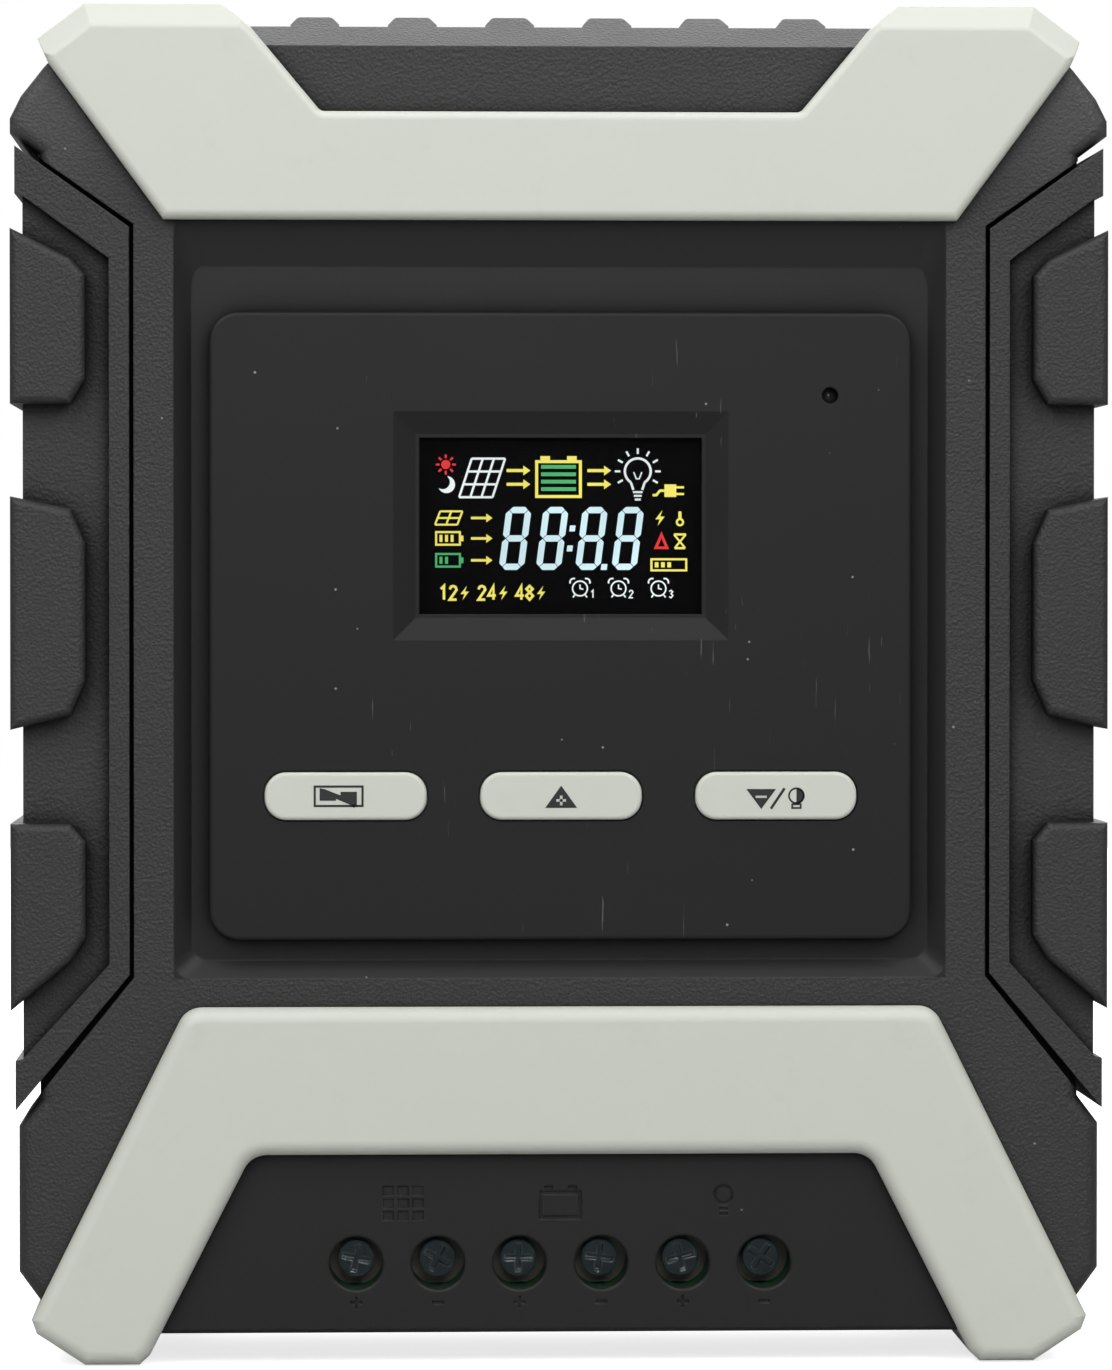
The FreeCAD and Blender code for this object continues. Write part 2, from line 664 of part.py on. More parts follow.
def plate_post_places():
    return [(f"{side} * PostX", up) for side in (1, -1) for up in ("PostHigh", "-PostLow")]


def pole_places():
    return [f"PolePitch * {step}" for step in (-2.5, -1.5, -0.5, 0.5, 1.5, 2.5)]


def button_places():
    return [("menu", "-ButtonPitch"), ("up", "0"), ("down", "ButtonPitch")]


# ---------------------------------------------------------------- the housing

def front_cover():
    body = new_body("front_cover")
    grow(body, [mirrored(cover_half())], "Seam", "CoverFace")
    dress(body, "Fillet", "EdgeRound", cover_front_edge)
    cut_loft(body, frame_outline("DishWide", "-DishLow", "DishHigh"), "CoverFace",
             frame_outline("DishWide - DishRamp", "-DishLow + DishRamp", "DishHigh - DishTopRamp"),
             "DishFloor")
    dress(body, "Fillet", "DishRound", dish_corner)
    cut(body, [strip_outline()], "CoverFace + 1", "StripFace")
    cut(body, [fascia_outline()], "CoverFace + 1", "StripFace")
    for step in RIB_STEPS:
        grow(body, [rib_outline(step)], "RibBack", "StripFace")
    slope_strip(body)
    dress(body, "Fillet", "RibRound", along_depth_at(rib_crowns()))
    for half in (upper_trim_half(), lower_trim_half()):
        cut(body, [mirrored(half)], "CoverFace + 1", "TrimSeat")
    dress(body, "Fillet", "ArchRound", along_depth_at(arch_corners()))
    dress(body, "Fillet", "BridgeRound", along_depth_at(bridge_corners()))
    for side in (1, -1):
        cut(body, [flipped(grip_seat_outline(), side)], "CoverFace + 1", "GripSeat")
    cut(body, [mirrored(cavity_half())], "Cavity", "Seam")
    cut(body, [frame_outline("PlateWide - PlateSkirt", "-PlateLow + PlateSkirt", "PlateTop - PlateSkirt")],
        "DishFloor", "Cavity")
    cut(body, [frame_outline("BlockWide + 0.5", "-CoverBottom + Wall", "-BlockHigh + 0.3")],
        "StripFace - FasciaThick", "Cavity")
    holes = [(across, "-PoleZ", "AccessR") for across in pole_places()]
    cut(body, [], "StripFace", "StripFace - FasciaThick", holes)
    dress(body, "Fillet", "AccessRound", access_rim)
    cut(body, [box_outline(across, "-CoverBottom + Wall / 2", "ChamberWide - 0.2", "Wall * 2")
               for across in pole_places()], "EntryFront", "EntryBack")
    posts = [(across, up, "CasePostR") for across, up in case_screw_places()]
    grow(body, [], "Seam", "Cavity + 0.5", posts)
    cut(body, [], "Cavity - 8", "Seam", [(x, z, "CaseScrewR") for x, z, _ in posts])
    outlines, circles = fascia_signs()
    cut(body, outlines, "StripFace", "StripFace - SignDeep", circles)
    return body


def fascia_signs():
    """Sunk signs over the terminals: a solar panel, a battery and a lamp, and a plus or minus for each."""
    outlines = [box_outline(f"-2 * PolePitch + 0.8 + {column} * 2", f"-SignZ + {row} * 1.7", "1.5", "1.2")
                for column in (-1, 0, 1) for row in (-1, 0, 1)]
    for wide, tall in (("5.8", "3.8"), ("4.9", "2.9")):
        outlines.append(box_outline("0", "-SignZ - 0.3", wide, tall))
    outlines += [box_outline(f"{side} * 1.6", "-SignZ + 2", "1.2", "0.5") for side in (1, -1)]
    outlines += [box_outline("2 * PolePitch", f"-SignZ - {drop}", "1.2", "0.35") for drop in (0.9, 1.6)]
    circles = [("2 * PolePitch", "-SignZ + 1", "1.35"), ("2 * PolePitch", "-SignZ + 1", "0.95")]
    for i, across in enumerate(pole_places()):
        if i % 2:
            outlines.append(box_outline(across, "-MarkZ", "1.6", "0.4"))
        else:
            outlines.append(plus_outline(across, "-MarkZ", "0.8", "0.2"))
    return outlines, circles


def plus_outline(across, up, reach, half):
    quarter = [(half, reach), (half, half), (reach, half)]
    right = quarter + [(x, f"-{z}") for x, z in reversed(quarter)]
    return ([(f"{across} + {x}", f"{up} + {z}") for x, z in right]
            + [(f"{across} - {x}", f"{up} + {z}") for x, z in reversed(right)])


def dish_corner(edge):
    """The four slanting edges where the dish's sloping sides meet."""
    box = edge.BoundBox
    middle = box.Center
    inward = value("DishWide") - value("DishRamp") / 2
    return (abs(box.YLength - (value("CoverFace") - value("DishFloor"))) < 1e-3
            and box.ZLength > 0.1 and abs(abs(middle.x) - inward) < 1e-3)


def access_rim(edge):
    return at_depth(value("StripFace"))(edge) and abs(edge.BoundBox.XLength - 2 * value("AccessR")) < 1e-3


def on_top(edge):
    return edge.BoundBox.ZMin > value("CoverTop") - 1e-3


def cover_front_edge(edge):
    """The cover's front edges, except the top one, which is beveled instead."""
    return at_depth(value("CoverFace"))(edge) and not on_top(edge)


def slope_strip(body):
    """Slopes the strip's upper front edge, and the ends of the ribs with it."""
    foot = "CoverTop - StripDrop"
    head = "CoverTop + RibRise + 1"
    profile = [
        ("-StripFace", foot),
        (f"-StripFace + ({head} - ({foot})) * StripSlope / StripDrop", head),
        ("-StripFace - 2", head),
        ("-StripFace - 2", foot),
    ]
    sketch = new_sketch(body, "0", "YZ_Plane")
    draw_outline(sketch, profile)
    slope = body.newObject("PartDesign::Pocket", "strip_slope")
    slope.Profile = sketch
    slope.Midplane = True
    bind(slope, Length="(HornIn - RibCrown / 2) * 2")
    doc.recompute()


def rib_crowns():
    """Places of the upper edges of the ribs on the right; the left ones mirror them."""
    up = value("CoverTop") + value("RibRise")
    half = value("RibCrown") / 2
    return [(value("RibPitch") * step + way * half, up) for step in RIB_STEPS if step > 0 for way in (-1, 1)]


def rib_outline(step):
    middle = f"RibPitch * {step}"
    return [
        (f"{middle} - RibFoot / 2", "CoverTop - 0.4"),
        (f"{middle} + RibFoot / 2", "CoverTop - 0.4"),
        (f"{middle} + RibFoot / 2", "CoverTop + RibRise * 0.2"),
        (f"{middle} + RibCrown / 2", "CoverTop + RibRise"),
        (f"{middle} - RibCrown / 2", "CoverTop + RibRise"),
        (f"{middle} - RibFoot / 2", "CoverTop + RibRise * 0.2"),
    ]


def trim_blank(label, half, corners, corner_round):
    """A trim before its front edges are dressed and it is hollowed to fit over the cover."""
    body = new_body(label)
    grow(body, [mirrored(half)], "TrimDeep", "TrimFace")
    dress(body, "Fillet", corner_round, along_depth_at(corners))
    return body


def fit_over_cover(body):
    """A trim lies in its seat on the cover's front and wraps over the cover's edge."""
    cut(body, [mirrored(cover_half())], "TrimSeat", "TrimDeep")
    return body


def top_trim():
    body = trim_blank("top_trim", upper_trim_half(), bridge_corners(), "BridgeRound")
    dress(body, "Chamfer", "HornBevel", lambda edge: trim_front(edge) and on_horn(edge))
    dress(body, "Fillet", "TrimRound", trim_front)
    return fit_over_cover(body)


def bottom_trim():
    body = trim_blank("bottom_trim", lower_trim_half(), arch_corners(), "ArchRound")
    dress(body, "Fillet", "ArchEdge", trim_front)
    return fit_over_cover(body)


def trim_front(edge):
    return at_depth(value("TrimFace"))(edge)


def on_horn(edge):
    """The upper edges of the horns, on top and around their tips."""
    box = edge.BoundBox
    return box.ZMax > value("HornTop") - 1e-3 and abs(box.Center.x) > value("HornIn")


def side_grip(label, side):
    body = new_body(label)
    drop = "GripGap * 1.24"
    frame = [
        ("GripOuter", f"GripTopOuter - {drop}"),
        ("GripIn + GripGap", f"GripHigh - {drop} / 2"),
        ("GripIn + GripGap", f"-GripLow + {drop} / 2"),
        ("GripOuter", f"-GripLowOuter + {drop}"),
    ]
    sunk = [
        ("GripSunk", "SunkHighOuter"),
        ("SunkIn", "SunkHigh"),
        ("SunkIn", "-SunkLow"),
        ("GripSunk", "-SunkLowOuter"),
        ("GripOuter + 3", "-SunkLowOuter"),
        ("GripOuter + 3", "SunkHighOuter"),
    ]
    grow(body, [flipped(frame, side)], "Seam", "CoverFace")
    cut(body, [flipped(sunk, side)], "CoverFace + 1", "GripFloor")
    rim = [
        ("GripSunk", "SunkHighOuter"),
        ("GripSunk", "-SunkLowOuter"),
        ("GripOuter + 3", "-SunkLowOuter - 1"),
        ("GripOuter + 3", "SunkHighOuter + 1"),
    ]
    cut(body, [flipped(rim, side)], "CoverFace", "Seam")
    for outline in pad_outlines():
        grow(body, [flipped(outline, side)], "Seam", "PadFace")
    dress(body, "Fillet", "PadRound", at_depth(value("PadFace")))
    cut(body, [flipped(grip_core_outline(), side)], "GripSeat", "Seam")
    return body


def pad_outlines():
    """The three raised pads of the right grip."""
    corner = "PadIn + PadCorner"
    return [
        [("PadOuter", "HighPadTop"), (corner, "HighPadTop - 4"), ("PadIn", "HighPadTop - 6.2"),
         ("PadIn", "HighPadLow + 3.3"), (corner, "HighPadLow"), ("PadOuter", "HighPadLow")],
        [("PadOuter", "MiddlePadTop"), (corner, "MiddlePadTop - 1.7"), ("PadIn", "MiddlePadTop - 6.3"),
         ("PadIn", "-MiddlePadLow + 6.5"), (corner, "-MiddlePadLow + 2"), ("PadOuter", "-MiddlePadLow")],
        [("PadOuter", "-LowPadTop"), (corner, "-LowPadTop"), ("PadIn", "-LowPadTop - 2.4"),
         ("PadIn", "-LowPadLow + 9.9"), (corner, "-LowPadLow + 6.7"), ("PadOuter", "-LowPadLow")],
    ]


def grip_core_outline():
    """The part of the front cover that a grip wraps around."""
    return [
        ("GripIn - 2", "CornerLow"),
        ("SeatWide", "CornerLow"),
        ("SeatWide", "-FootTop - 1"),
        ("GripIn - 2", "-FootTop - 1"),
    ]


def back_half():
    return [
        ("BackWide - BackCorner", "BackTop"),
        ("BackWide", "BackTop - BackCorner"),
        ("BackWide", "-BackLow + BackCorner"),
        ("BackWide - BackCorner", "-BackLow"),
    ]


def back_cover():
    body = new_body("back_cover")
    grow(body, [mirrored(back_half())], "0", "Seam")
    dress(body, "Fillet", "BackRound", at_depth(0.0))
    inner = mirrored([
        ("BackWide - BackCorner - 1", "BackTop - Wall"),
        ("BackWide - Wall", "BackTop - BackCorner - 1"),
        ("BackWide - Wall", "-BackLow + BackCorner + 1"),
        ("BackWide - BackCorner - 1", "-BackLow + Wall"),
    ])
    cut(body, [inner], "Seam", "BackFloor")
    wall = "ChannelWide + ChannelWall"
    grow(body, [frame_outline(wall, "-BackLow + Wall / 2", "BackTop - Wall / 2")], "0", "SinkBack")
    cut(body, [frame_outline("ChannelWide", "-BackLow - 1", "BackTop + 1")], "ChannelDeep", "0")
    cut(body, [frame_outline("ChannelWide", "-FinLow - 1", "FinTop + 1")], "SinkBack", "0")
    entries = [(f"{side} * KeyX", up, "KeyR") for side in (1, -1) for up in ("KeyZ", "-KeyZ")]
    cut(body, [], "BackFloor", "0", entries)
    for side in (1, -1):
        for up in ("KeyZ", "-KeyZ"):
            across = f"{side} * KeyX"
            slot = box_outline(across, f"{up} + KeyRise / 2", "KeySlot * 2", "KeyRise")
            cut(body, [slot], "BackFloor", "0")
            cut(body, [], "BackFloor", "0", [(across, f"{up} + KeyRise", "KeySlot")])
    grow(body, [], "0", "Seam", [(x, z, "CasePostR") for x, z in case_screw_places()])
    cut(body, [], "Seam", "0", [(x, z, "CaseScrewR + 0.15") for x, z in case_screw_places()])
    cut(body, [], "CaseSink", "0", [(x, z, "CaseHeadR + 0.3") for x, z in case_screw_places()])
    threaded = [(x, z, "SmallScrewR") for x, z in sink_screw_places()]
    cut(body, [], "SinkBack", "SinkBack - ThreadDeep * 2", threaded)
    return body


# ---------------------------------------------------------------- display plate and what it carries

def display_plate():
    body = new_body("display_plate")
    outer = frame_outline("PlateWide", "-PlateLow", "PlateTop")
    grow(body, [outer], "DishFloor", "PlateFace")
    round_all_corners(body, "PlateRound")
    dress(body, "Fillet", "PlateEdge", at_depth(value("PlateFace")))
    skirt = "(PlateSkirt + 0.1)"
    grow(body, [frame_outline(f"PlateWide - {skirt}", f"-PlateLow + {skirt}", f"PlateTop - {skirt}")],
         "Cavity + 1", "DishFloor")
    inside = f"({skirt} + SkirtWall)"
    cut(body, [frame_outline(f"PlateWide - {inside}", f"-PlateLow + {inside}", f"PlateTop - {inside}")],
        "PlateBack", "Cavity + 1")
    cut_loft(body, frame_outline("BevelWide", "BevelLow", "BevelTop"), "PlateFace",
             frame_outline("WindowWide + 0.5", "WindowLow - 0.5", "WindowTop + 0.5"),
             "PlateFace - BevelDeep")
    cut(body, [frame_outline("WindowWide", "WindowLow", "WindowTop")], "PlateFace", "PlateBack")
    cut(body, [], "PlateFace", "PlateBack", [("LampX", "LampZ", "LampHole")])
    for _, across in button_places():
        cut(body, [box_outline(across, "-ButtonZ", "ButtonLong + ButtonGap * 2",
                               "ButtonTall + ButtonGap * 2")], "PlateFace", "PlateBack")
        dress(body, "Fillet", "ButtonRound + ButtonGap", button_corner(across))
    grow(body, [], "PanelBoardBack + BoardThick", "PlateBack + 0.5",
         [(x, z, "PostR") for x, z in plate_post_places()])
    cut(body, [], "PlateBack - 1", "PanelBoardBack + BoardThick",
        [(x, z, "SmallScrewR") for x, z in plate_post_places()])
    return body


def button_corner(across):
    middle = {"-ButtonPitch": -value("ButtonPitch"), "0": 0.0, "ButtonPitch": value("ButtonPitch")}[across]
    wide = value("ButtonLong") / 2 + value("ButtonGap")
    tall = value("ButtonTall") / 2 + value("ButtonGap")

    def test(edge):
        if not along_depth(edge):
            return False
        where = edge.BoundBox.Center
        return (abs(abs(where.x - middle) - wide) < 0.01
                and abs(abs(where.z + value("ButtonZ")) - tall) < 0.01)
    return test


def button(name, across):
    body = new_body(f"{name}_button")
    grow(body, [box_outline(across, "-ButtonZ", "ButtonLong", "ButtonTall")],
         "ButtonBack", "PlateFace + ButtonProud")
    round_all_corners(body, "ButtonRound")
    dress(body, "Fillet", "ButtonEdge", at_depth(value("PlateFace") + value("ButtonProud")))
    lip = box_outline(across, "-ButtonZ", "ButtonLong + ButtonLip * 2", "ButtonTall + ButtonLip * 2")
    grow(body, [lip], "ButtonBack", "PlateBack - ButtonTravel + Slack")
    grow(body, [], "StemTop", "ButtonBack", [(across, "-ButtonZ", "StemR - Slack")])
    return body


def switch_stem(name, across):
    return rod(f"{name}_switch_stem", "StemR", across, "-ButtonZ", "StemTop - StemLong", "StemTop")


def switch_bodies():
    front = "PanelBoardBack + BoardThick"
    solids = []
    for name, across in button_places():
        case = block(f"{name}_switch_case", "SwitchSide", "SwitchTall", "SwitchSide", across, front,
                     "-ButtonZ - SwitchSide / 2")
        bore = rod(f"{name}_switch_bore", "StemR + StemGap", across, "-ButtonZ", f"{front} + SwitchFloor",
                   f"{front} + SwitchTall + 1")
        solids.append(remove(f"{name}_switch_body", case, bore))
    return pieces("switch_bodies", solids)


def display_window():
    lap = "LensLap"
    return block("display_window", f"(WindowWide + {lap}) * 2", "LensThick",
                 f"WindowTop - WindowLow + {lap} * 2", "0", "PlateBack - LensThick", f"WindowLow - {lap}")


def display_panel():
    return block("display_panel", "GlassWide * 2", "GlassThick", "WindowTop - WindowLow + GlassLap * 2",
                 "0", glass_back(), "WindowLow - GlassLap")


def glass_back():
    return "PlateBack - LensThick - GlassGap - GlassThick"


def display_backlight():
    front = glass_back()
    back = "PanelBoardBack + BoardThick"
    inset = "LightInset"
    return block("display_backlight", f"(GlassWide - {inset}) * 2", f"{front} - ({back})",
                 f"WindowTop - WindowLow + (GlassLap - {inset}) * 2", "0", back,
                 f"WindowLow - GlassLap + {inset}")


def display_frame():
    """A moulded frame that holds the glass over the backlight."""
    body = new_body("display_frame")
    back = "PanelBoardBack + BoardThick"
    front = "PlateBack - LensThick - GlassGap"
    low = "WindowLow - GlassLap"
    top = "WindowTop + GlassLap"
    grow(body, [frame_outline("GlassWide + FrameWall", f"{low} - FrameWall", f"{top} + FrameWall")],
         back, front)
    cut(body, [frame_outline("GlassWide", low, top)], front, back)
    return body


def indicator_lamp():
    back = "PanelBoardBack + BoardThick"
    stem = rod("indicator_lamp_body", "LampBulb", "LampX", "LampZ", back, "LampBack")
    dome = doc.addObject("Part::Sphere", "indicator_lamp_dome")
    bind(dome, Radius="LampBulb")
    bind(dome, **{"Placement.Base.x": "LampX", "Placement.Base.y": "-LampBack", "Placement.Base.z": "LampZ"})
    return join("indicator_lamp", [stem, dome])


def control_board():
    body = new_body("control_board")
    grow(body, [frame_outline("PanelBoardWide", "-PanelBoardLow", "PanelBoardTop")],
         "PanelBoardBack", "PanelBoardBack + BoardThick")
    cut(body, [], "PanelBoardBack + BoardThick", "PanelBoardBack",
        [(x, z, "SmallScrewR + Slack") for x, z in plate_post_places()])
    return body


def screw(name, across, up, seat, head_r, head_tall, shank_r, reach):
    """A screw driven from the wall side: its head lies behind the seat, its shank runs forward."""
    head = rod(f"{name}_head", head_r, across, up, f"{seat} - {head_tall}", seat)
    shank = rod(f"{name}_shank", shank_r, across, up, seat, f"{seat} + {reach}")
    long = f"{head_r} * SlotLong"
    deep = f"{head_tall} / 2"
    back = f"{seat} - {head_tall}"
    slot = block(f"{name}_slot", long, deep, "SlotWide", across, back, f"{up} - SlotWide / 2")
    cross = block(f"{name}_cross", "SlotWide", deep, long, across, back, f"{up} - {long} / 2")
    whole = join(f"{name}_blank", [head, shank])
    return remove(name, whole, join(f"{name}_recess", [slot, cross]))


def control_board_screws():
    return pieces("control_board_screws", [
        screw(f"panel_screw_{i}", x, z, "PanelBoardBack", "SmallHeadR", "SmallHeadTall", "SmallScrewR",
              "PanelScrewLong")
        for i, (x, z) in enumerate(plate_post_places(), start=1)
    ])


def case_screws():
    return pieces("case_screws", [
        screw(f"case_screw_{i}", x, z, "CaseSink", "CaseHeadR", "CaseHeadTall", "CaseScrewR",
              "CaseScrewLong")
        for i, (x, z) in enumerate(case_screw_places(), start=1)
    ])


# ---------------------------------------------------------------- heat sink and main board

def spacer_places():
    return [(f"{side} * SpacerX", up) for side in (1, -1) for up in ("SpacerHigh", "-SpacerLow")]


def sink_screw_places():
    middle = "(SpacerHigh - SpacerLow) / 2"
    return [(f"{side} * SinkScrewX", f"{middle} + {way} * SinkScrewZ") for side in (1, -1)
            for way in (1, -1)]


def heat_sink():
    body = new_body("heat_sink")
    grow(body, [frame_outline("SinkWide", "-SinkLow", "SinkTop")], "SinkBack", "SinkFront")
    fins = [frame_strip(step) for step in range(-5, 6)]
    grow(body, fins, "FinBack", "SinkBack")
    threaded = spacer_places() + clamp_places()
    cut(body, [], "SinkFront", "SinkBack + 1", [(x, z, "SmallScrewR") for x, z in threaded])
    cut(body, [], "SinkFront", "SinkBack", [(x, z, "SmallScrewR + Slack") for x, z in sink_screw_places()])
    return body


def frame_strip(step):
    return box_outline(f"FinPitch * {step}", "(FinTop - FinLow) / 2", "FinThick", "FinTop + FinLow")


def main_board():
    body = new_body("main_board")
    grow(body, [frame_outline("MainWide", "-MainLow", "MainTop")], "MainBack", "MainBack + BoardThick")
    cut(body, [], "MainBack + BoardThick", "MainBack",
        [(x, z, "SmallScrewR + Slack") for x, z in spacer_places()])
    slots = [box_outline(across, "-BarHigh - BarThick / 2", "BarWide + Slack * 2", "BarThick + Slack * 2")
             for across in pole_places()]
    cut(body, slots, "MainBack + BoardThick", "MainBack")
    side = "LegWide + Slack * 3"
    legs = [box_outline(f"{across} + LegPitch * {leg}", leg_height(), side, side)
            for across in chip_places() for leg in (-1, 0, 1)]
    cut(body, legs, "MainBack + BoardThick", "MainBack")
    return body


def board_spacers():
    solids = []
    for i, (x, z) in enumerate(spacer_places(), start=1):
        tube = rod(f"spacer_{i}_tube", "SpacerR", x, z, "SinkFront", "MainBack")
        hole = rod(f"spacer_{i}_hole", "SmallScrewR + Slack", x, z, "SinkFront - 1", "MainBack + 1")
        solids.append(remove(f"spacer_{i}", tube, hole))
    return pieces("board_spacers", solids)


def front_screw(name, across, up, seat, reach):
    """A small screw driven from the front: its head lies on the seat, its shank runs to the wall side."""
    head = rod(f"{name}_head", "SmallHeadR", across, up, seat, f"{seat} + SmallHeadTall")
    shank = rod(f"{name}_shank", "SmallScrewR", across, up, f"{seat} - ({reach})", seat)
    slot = block(f"{name}_slot", "SmallHeadR * SlotLong", "SmallHeadTall", "SlotWide", across,
                 f"{seat} + SmallHeadTall / 2", f"{up} - SlotWide / 2")
    return remove(name, join(f"{name}_blank", [head, shank]), slot)


def board_screws():
    reach = "MainBack + BoardThick - SinkFront + ThreadDeep"
    return pieces("board_screws", [
        front_screw(f"board_screw_{i}", x, z, "MainBack + BoardThick", reach)
        for i, (x, z) in enumerate(spacer_places(), start=1)
    ])


def chip_places():
    return [f"ChipPitch * {step}" for step in (-2.5, -1.5, -0.5, 0.5, 1.5, 2.5)]


def leg_height():
    return "-ChipLow - LegOut"


def thermal_pad():
    return block("thermal_pad", "ChipPitch * 6 + 2", "PadThick", "ChipTall + 3", "0", "SinkFront",
                 "-ChipLow - 1")


def power_transistors():
    """Six power transistors that lie on the heat sink, with their legs bent up through the board."""
    back = "SinkFront + PadThick"
    solids = []
    for i, across in enumerate(chip_places(), start=1):
        case = block(f"transistor_{i}_case", "ChipWide", "ChipThick", "ChipTall", across, back, "-ChipLow")
        shapes = [case]
        for leg in (-1, 0, 1):
            place = f"{across} + LegPitch * {leg}"
            shapes.append(block(f"transistor_{i}_lead_{leg + 2}", "LegWide", "LegWide", "LegOut + LegWide",
                                place, f"{back} + LegRise", f"{leg_height()} - LegWide / 2"))
            shapes.append(block(f"transistor_{i}_leg_{leg + 2}", "LegWide",
                                f"MainBack + BoardThick + LegWide - ({back} + LegRise)", "LegWide", place,
                                f"{back} + LegRise", f"{leg_height()} - LegWide / 2"))
        solids.append(join(f"transistor_{i}", shapes))
    return pieces("power_transistors", solids)


def transistor_clamp_bar():
    body = new_body("transistor_clamp_bar")
    back = "SinkFront + PadThick + ChipThick"
    grow(body, [box_outline("0", "-ChipLow + ChipTall / 2", "(ChipPitch * 3 + ClampEnd) * 2",
                            "ClampTall")],
         back, f"{back} + ClampThick")
    holes = [(x, z, "SmallScrewR + Slack * 2") for x, z in clamp_places()]
    cut(body, [], f"{back} + ClampThick", back, holes)
    return body


def clamp_places():
    return [(f"{side} * (ChipPitch * 3 + ClampScrewOut)", "-ChipLow + ChipTall / 2") for side in (1, -1)]


def clamp_bar_screws():
    seat = "SinkFront + PadThick + ChipThick + ClampThick"
    return pieces("clamp_bar_screws", [
        front_screw(f"clamp_screw_{i}", x, z, seat, f"{seat} - SinkFront + ThreadDeep")
        for i, (x, z) in enumerate(clamp_places(), start=1)
    ])


def heat_sink_screws():
    reach = "SinkFront - SinkBack + ThreadDeep"
    return pieces("heat_sink_screws", [
        front_screw(f"sink_screw_{i}", x, z, "SinkFront", reach)
        for i, (x, z) in enumerate(sink_screw_places(), start=1)
    ])


def capacitors():
    front = "MainBack + BoardThick"
    solids = []
    for i, step in enumerate((-1.5, -0.5, 0.5, 1.5), start=1):
        across = f"CanPitch * {step}"
        can = rod(f"capacitor_{i}_can", "CanR", across, "CanZ", front, f"{front} + CanTall")
        rounded = doc.addObject("Part::Fillet", f"capacitor_{i}")
        rounded.Base = can
        doc.recompute()
        edge_round = value("CanEdge")
        rounded.Edges = [(n, edge_round, edge_round) for n, edge in enumerate(can.Shape.Edges, start=1)
                         if edge.Curve.TypeId == "Part::GeomCircle"]
        solids.append(rounded)
    return pieces("capacitors", solids)


def ring(name, radius, section, front):
    torus = doc.addObject("Part::Torus", name)
    torus.Placement.Rotation = FreeCAD.Rotation(Vector(1, 0, 0), 90)
    bind(torus, Radius1=radius, Radius2=section)
    bind(torus, **{"Placement.Base.x": "CoilX", "Placement.Base.y": f"-({front})",
                   "Placement.Base.z": "CoilZ"})
    return torus


def coil_middle():
    return "MainBack + BoardThick + CoilCore + CoilWire * 2"


def inductor_core():
    core = ring("inductor_core", "CoilRing", "CoilCore", coil_middle())
    core.Label = "inductor_core"
    return core


def inductor_winding():
    """Turns of wire around the ring, each a closed loop that rests on the core."""
    core = value("CoilCore")
    wire = value("CoilWire")
    middle = value("MainBack") + value("BoardThick") + core + wire * 2
    centre = Vector(value("CoilX"), -middle, value("CoilZ"))
    solids = []
    for i in range(1, COIL_TURNS - 1):
        angle = 2 * math.pi * (i + 0.5) / COIL_TURNS - math.pi
        out = Vector(math.cos(angle), 0, math.sin(angle))
        across = Vector(-math.sin(angle), 0, math.cos(angle))
        place = centre + out * value("CoilRing")
        solids.append(Part.makeTorus(core + wire, wire * WIRE_FIT, place, across))
    winding = doc.addObject("Part::Feature", "inductor_winding")
    winding.Label = "inductor_winding"
    winding.Shape = Part.makeCompound(solids)
    return winding


def controller_chips():
    front = "MainBack + BoardThick"
    return pieces("controller_chips", [
        block(name, wide, thick, tall, across, front, low) for name, wide, thick, tall, across, low in CHIPS
    ])


def shunt_resistor():
    """A thick bent strip that the current flows through."""
    body = new_body("shunt_resistor")
    front = "MainBack + BoardThick"
    inner = "(ShuntHalf - ShuntThick)"
    right_under = [("ShuntFoot", "0"), (inner, "0"), (inner, "(ShuntRise - ShuntThick)")]
    right_over = [("ShuntHalf", "ShuntRise"), ("ShuntHalf", "ShuntThick"), ("ShuntFoot", "ShuntThick")]
    under = right_under + [(f"-{x}", rise) for x, rise in reversed(right_under)]
    over = [(f"-{x}", rise) for x, rise in reversed(right_over)] + right_over
    sketch = new_sketch(body, "-ShuntLow", "XY_Plane")
    draw_outline(sketch, [(f"ShuntX + {x}", f"-({front} + {rise})") for x, rise in under + over])
    pad = body.newObject("PartDesign::Pad", "shunt_pad")
    pad.Profile = sketch
    bind(pad, Length="ShuntTall")
    doc.recompute()
    return body


def fuse_parts():
    """Two blade fuses and the clips that hold their blades."""
    front = "MainBack + BoardThick"
    fuses = []
    clips = []
    for i, side in enumerate((1, -1), start=1):
        middle = f"{side} * FuseX"
        low = "-FuseZ - FuseThick / 2"
        shapes = [block(f"fuse_{i}_body", "FuseWide", "FuseTall", "FuseThick", middle,
                        f"{front} + ClipTall", low)]
        for blade in (1, -1):
            place = f"{middle} + {blade} * FuseWide * 0.3"
            number = blade + 2
            shapes.append(block(f"fuse_{i}_blade_{number}", "BladeWide", "ClipTall", "BladeThick", place,
                                f"{front} + BladeTip", "-FuseZ - BladeThick / 2"))
            case = block(f"clip_{i}_{number}_case", "ClipWide", "ClipTall - BladeSlack", "ClipDeep", place,
                         front, "-FuseZ - ClipDeep / 2")
            gap = block(f"clip_{i}_{number}_gap", "BladeWide + Slack * 2", "ClipTall",
                        "BladeThick + BladeSlack * 2", place, f"{front} + BladeTip - Slack",
                        "-FuseZ - BladeThick / 2 - BladeSlack")
            clips.append(remove(f"clip_{i}_{number}", case, gap))
        fuses.append(join(f"fuse_{i}", shapes))
    return [pieces("blade_fuses", fuses), pieces("fuse_clips", clips)]


